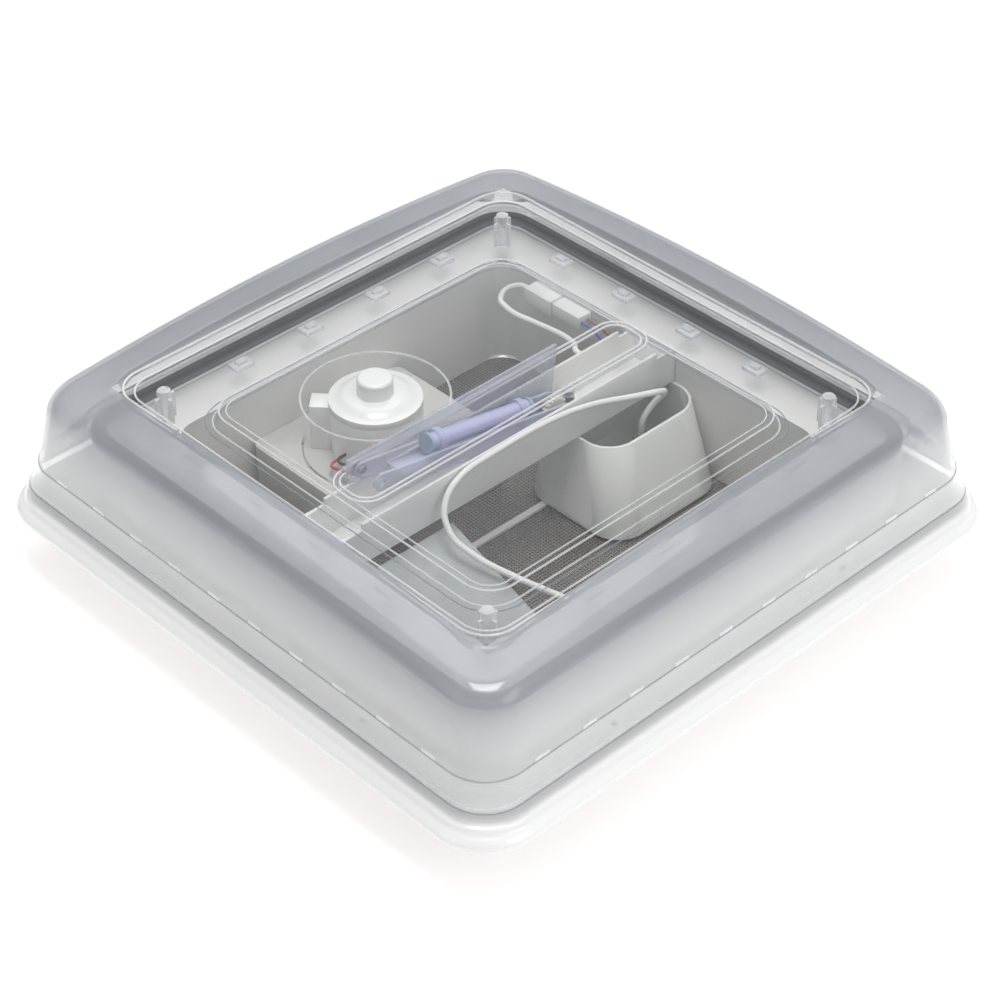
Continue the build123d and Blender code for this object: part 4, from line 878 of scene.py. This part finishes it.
# Floor, soft lights and a pale room
room = {   # metres and watts
    "floorHalf": 60.0, "floorGap": 0.0002, "floor": (0.72, 0.72, 0.72), "floorShade": 0.985,
    "floorRough": 0.9, "floorShine": 0.1, "floorGlow": 0.55,   # the glow keeps the shadow pale
    "horizon": (0.46, 0.47, 0.49), "zenith": (1.0, 1.0, 1.0), "zenithRise": 1.3,
    "strength": 0.66, "windowSide": 0.14, "aim": (0, 0, 0.05), "floorPatch": 2.0,
    "clearWalls": 40,   # light passes many clear walls here
    # place, width and power of each soft light
    "lights": [((-1.2, 1.0, 2.4), 1.4, 13.0), ((2.2, 0.2, 1.5), 1.2, 11.0),
               ((-0.4, -2.4, 1.4), 1.4, 4.5), ((0.1, -0.1, 2.2), 0.8, 24.0)],
}


def makeRoom(size):
    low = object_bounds()[0][2] - size["floorGap"]
    mesh = bpy.data.meshes.new("floor")
    half = size["floorHalf"]
    corners = [(-half, -half, low), (half, -half, low), (half, half, low), (-half, half, low)]
    mesh.from_pydata(corners, [], [(0, 1, 2, 3)])
    floor = bpy.data.objects.new("floor", mesh)
    scene.collection.objects.link(floor)
    floorMaterial, tree, shader = newMaterial("floorPaper")
    shade = tuple(value * size["floorShade"] for value in size["floor"])
    paper = mixColour(tree, noiseNode(tree, objectPlace(tree), size["floorPatch"]), size["floor"], shade)
    link(tree, paper, shader.inputs["Base Color"])
    shader.inputs["Roughness"].default_value = size["floorRough"]
    shader.inputs["Specular IOR Level"].default_value = size["floorShine"]
    shader.inputs["Emission Color"].default_value = (1, 1, 1, 1)
    shader.inputs["Emission Strength"].default_value = size["floorGlow"]
    floor.data.materials.append(floorMaterial)
    floor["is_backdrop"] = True
    world = bpy.data.worlds.new("room")
    scene.world = world
    world.use_nodes = True
    tree = world.node_tree
    background = next(node for node in tree.nodes if node.type == "BACKGROUND")
    split = splitPlace(tree, tree.nodes.new("ShaderNodeTexCoord").outputs["Generated"])
    rise = mathNode(tree, "MULTIPLY", split["Z"], size["zenithRise"], clamp=True)
    link(tree, mixColour(tree, rise, size["horizon"], size["zenith"]), background.inputs["Color"])
    # The room is brighter towards +X and +Y: strength + windowSide * (x + y)
    across = mathNode(tree, "ADD", split["X"], split["Y"])
    toWindow = mathNode(tree, "MULTIPLY", across, size["windowSide"])
    glow = mathNode(tree, "ADD", toWindow, size["strength"])
    link(tree, glow, background.inputs["Strength"])
    for index, (place, width, power) in enumerate(size["lights"]):
        data = bpy.data.lights.new("softLight%d" % index, "AREA")
        data.size, data.energy = width, power
        lamp = bpy.data.objects.new("softLight%d" % index, data)
        scene.collection.objects.link(lamp)
        toward = Vector(size["aim"]) - Vector(place)
        turned = toward.to_track_quat("-Z", "Y").to_matrix().to_4x4()
        lamp.matrix_world = Matrix.Translation(place) @ turned
    scene.view_settings.view_transform = "Standard"
    scene.cycles.transparent_max_bounces = size["clearWalls"]


makeRoom(room)
bpy.context.view_layer.update()
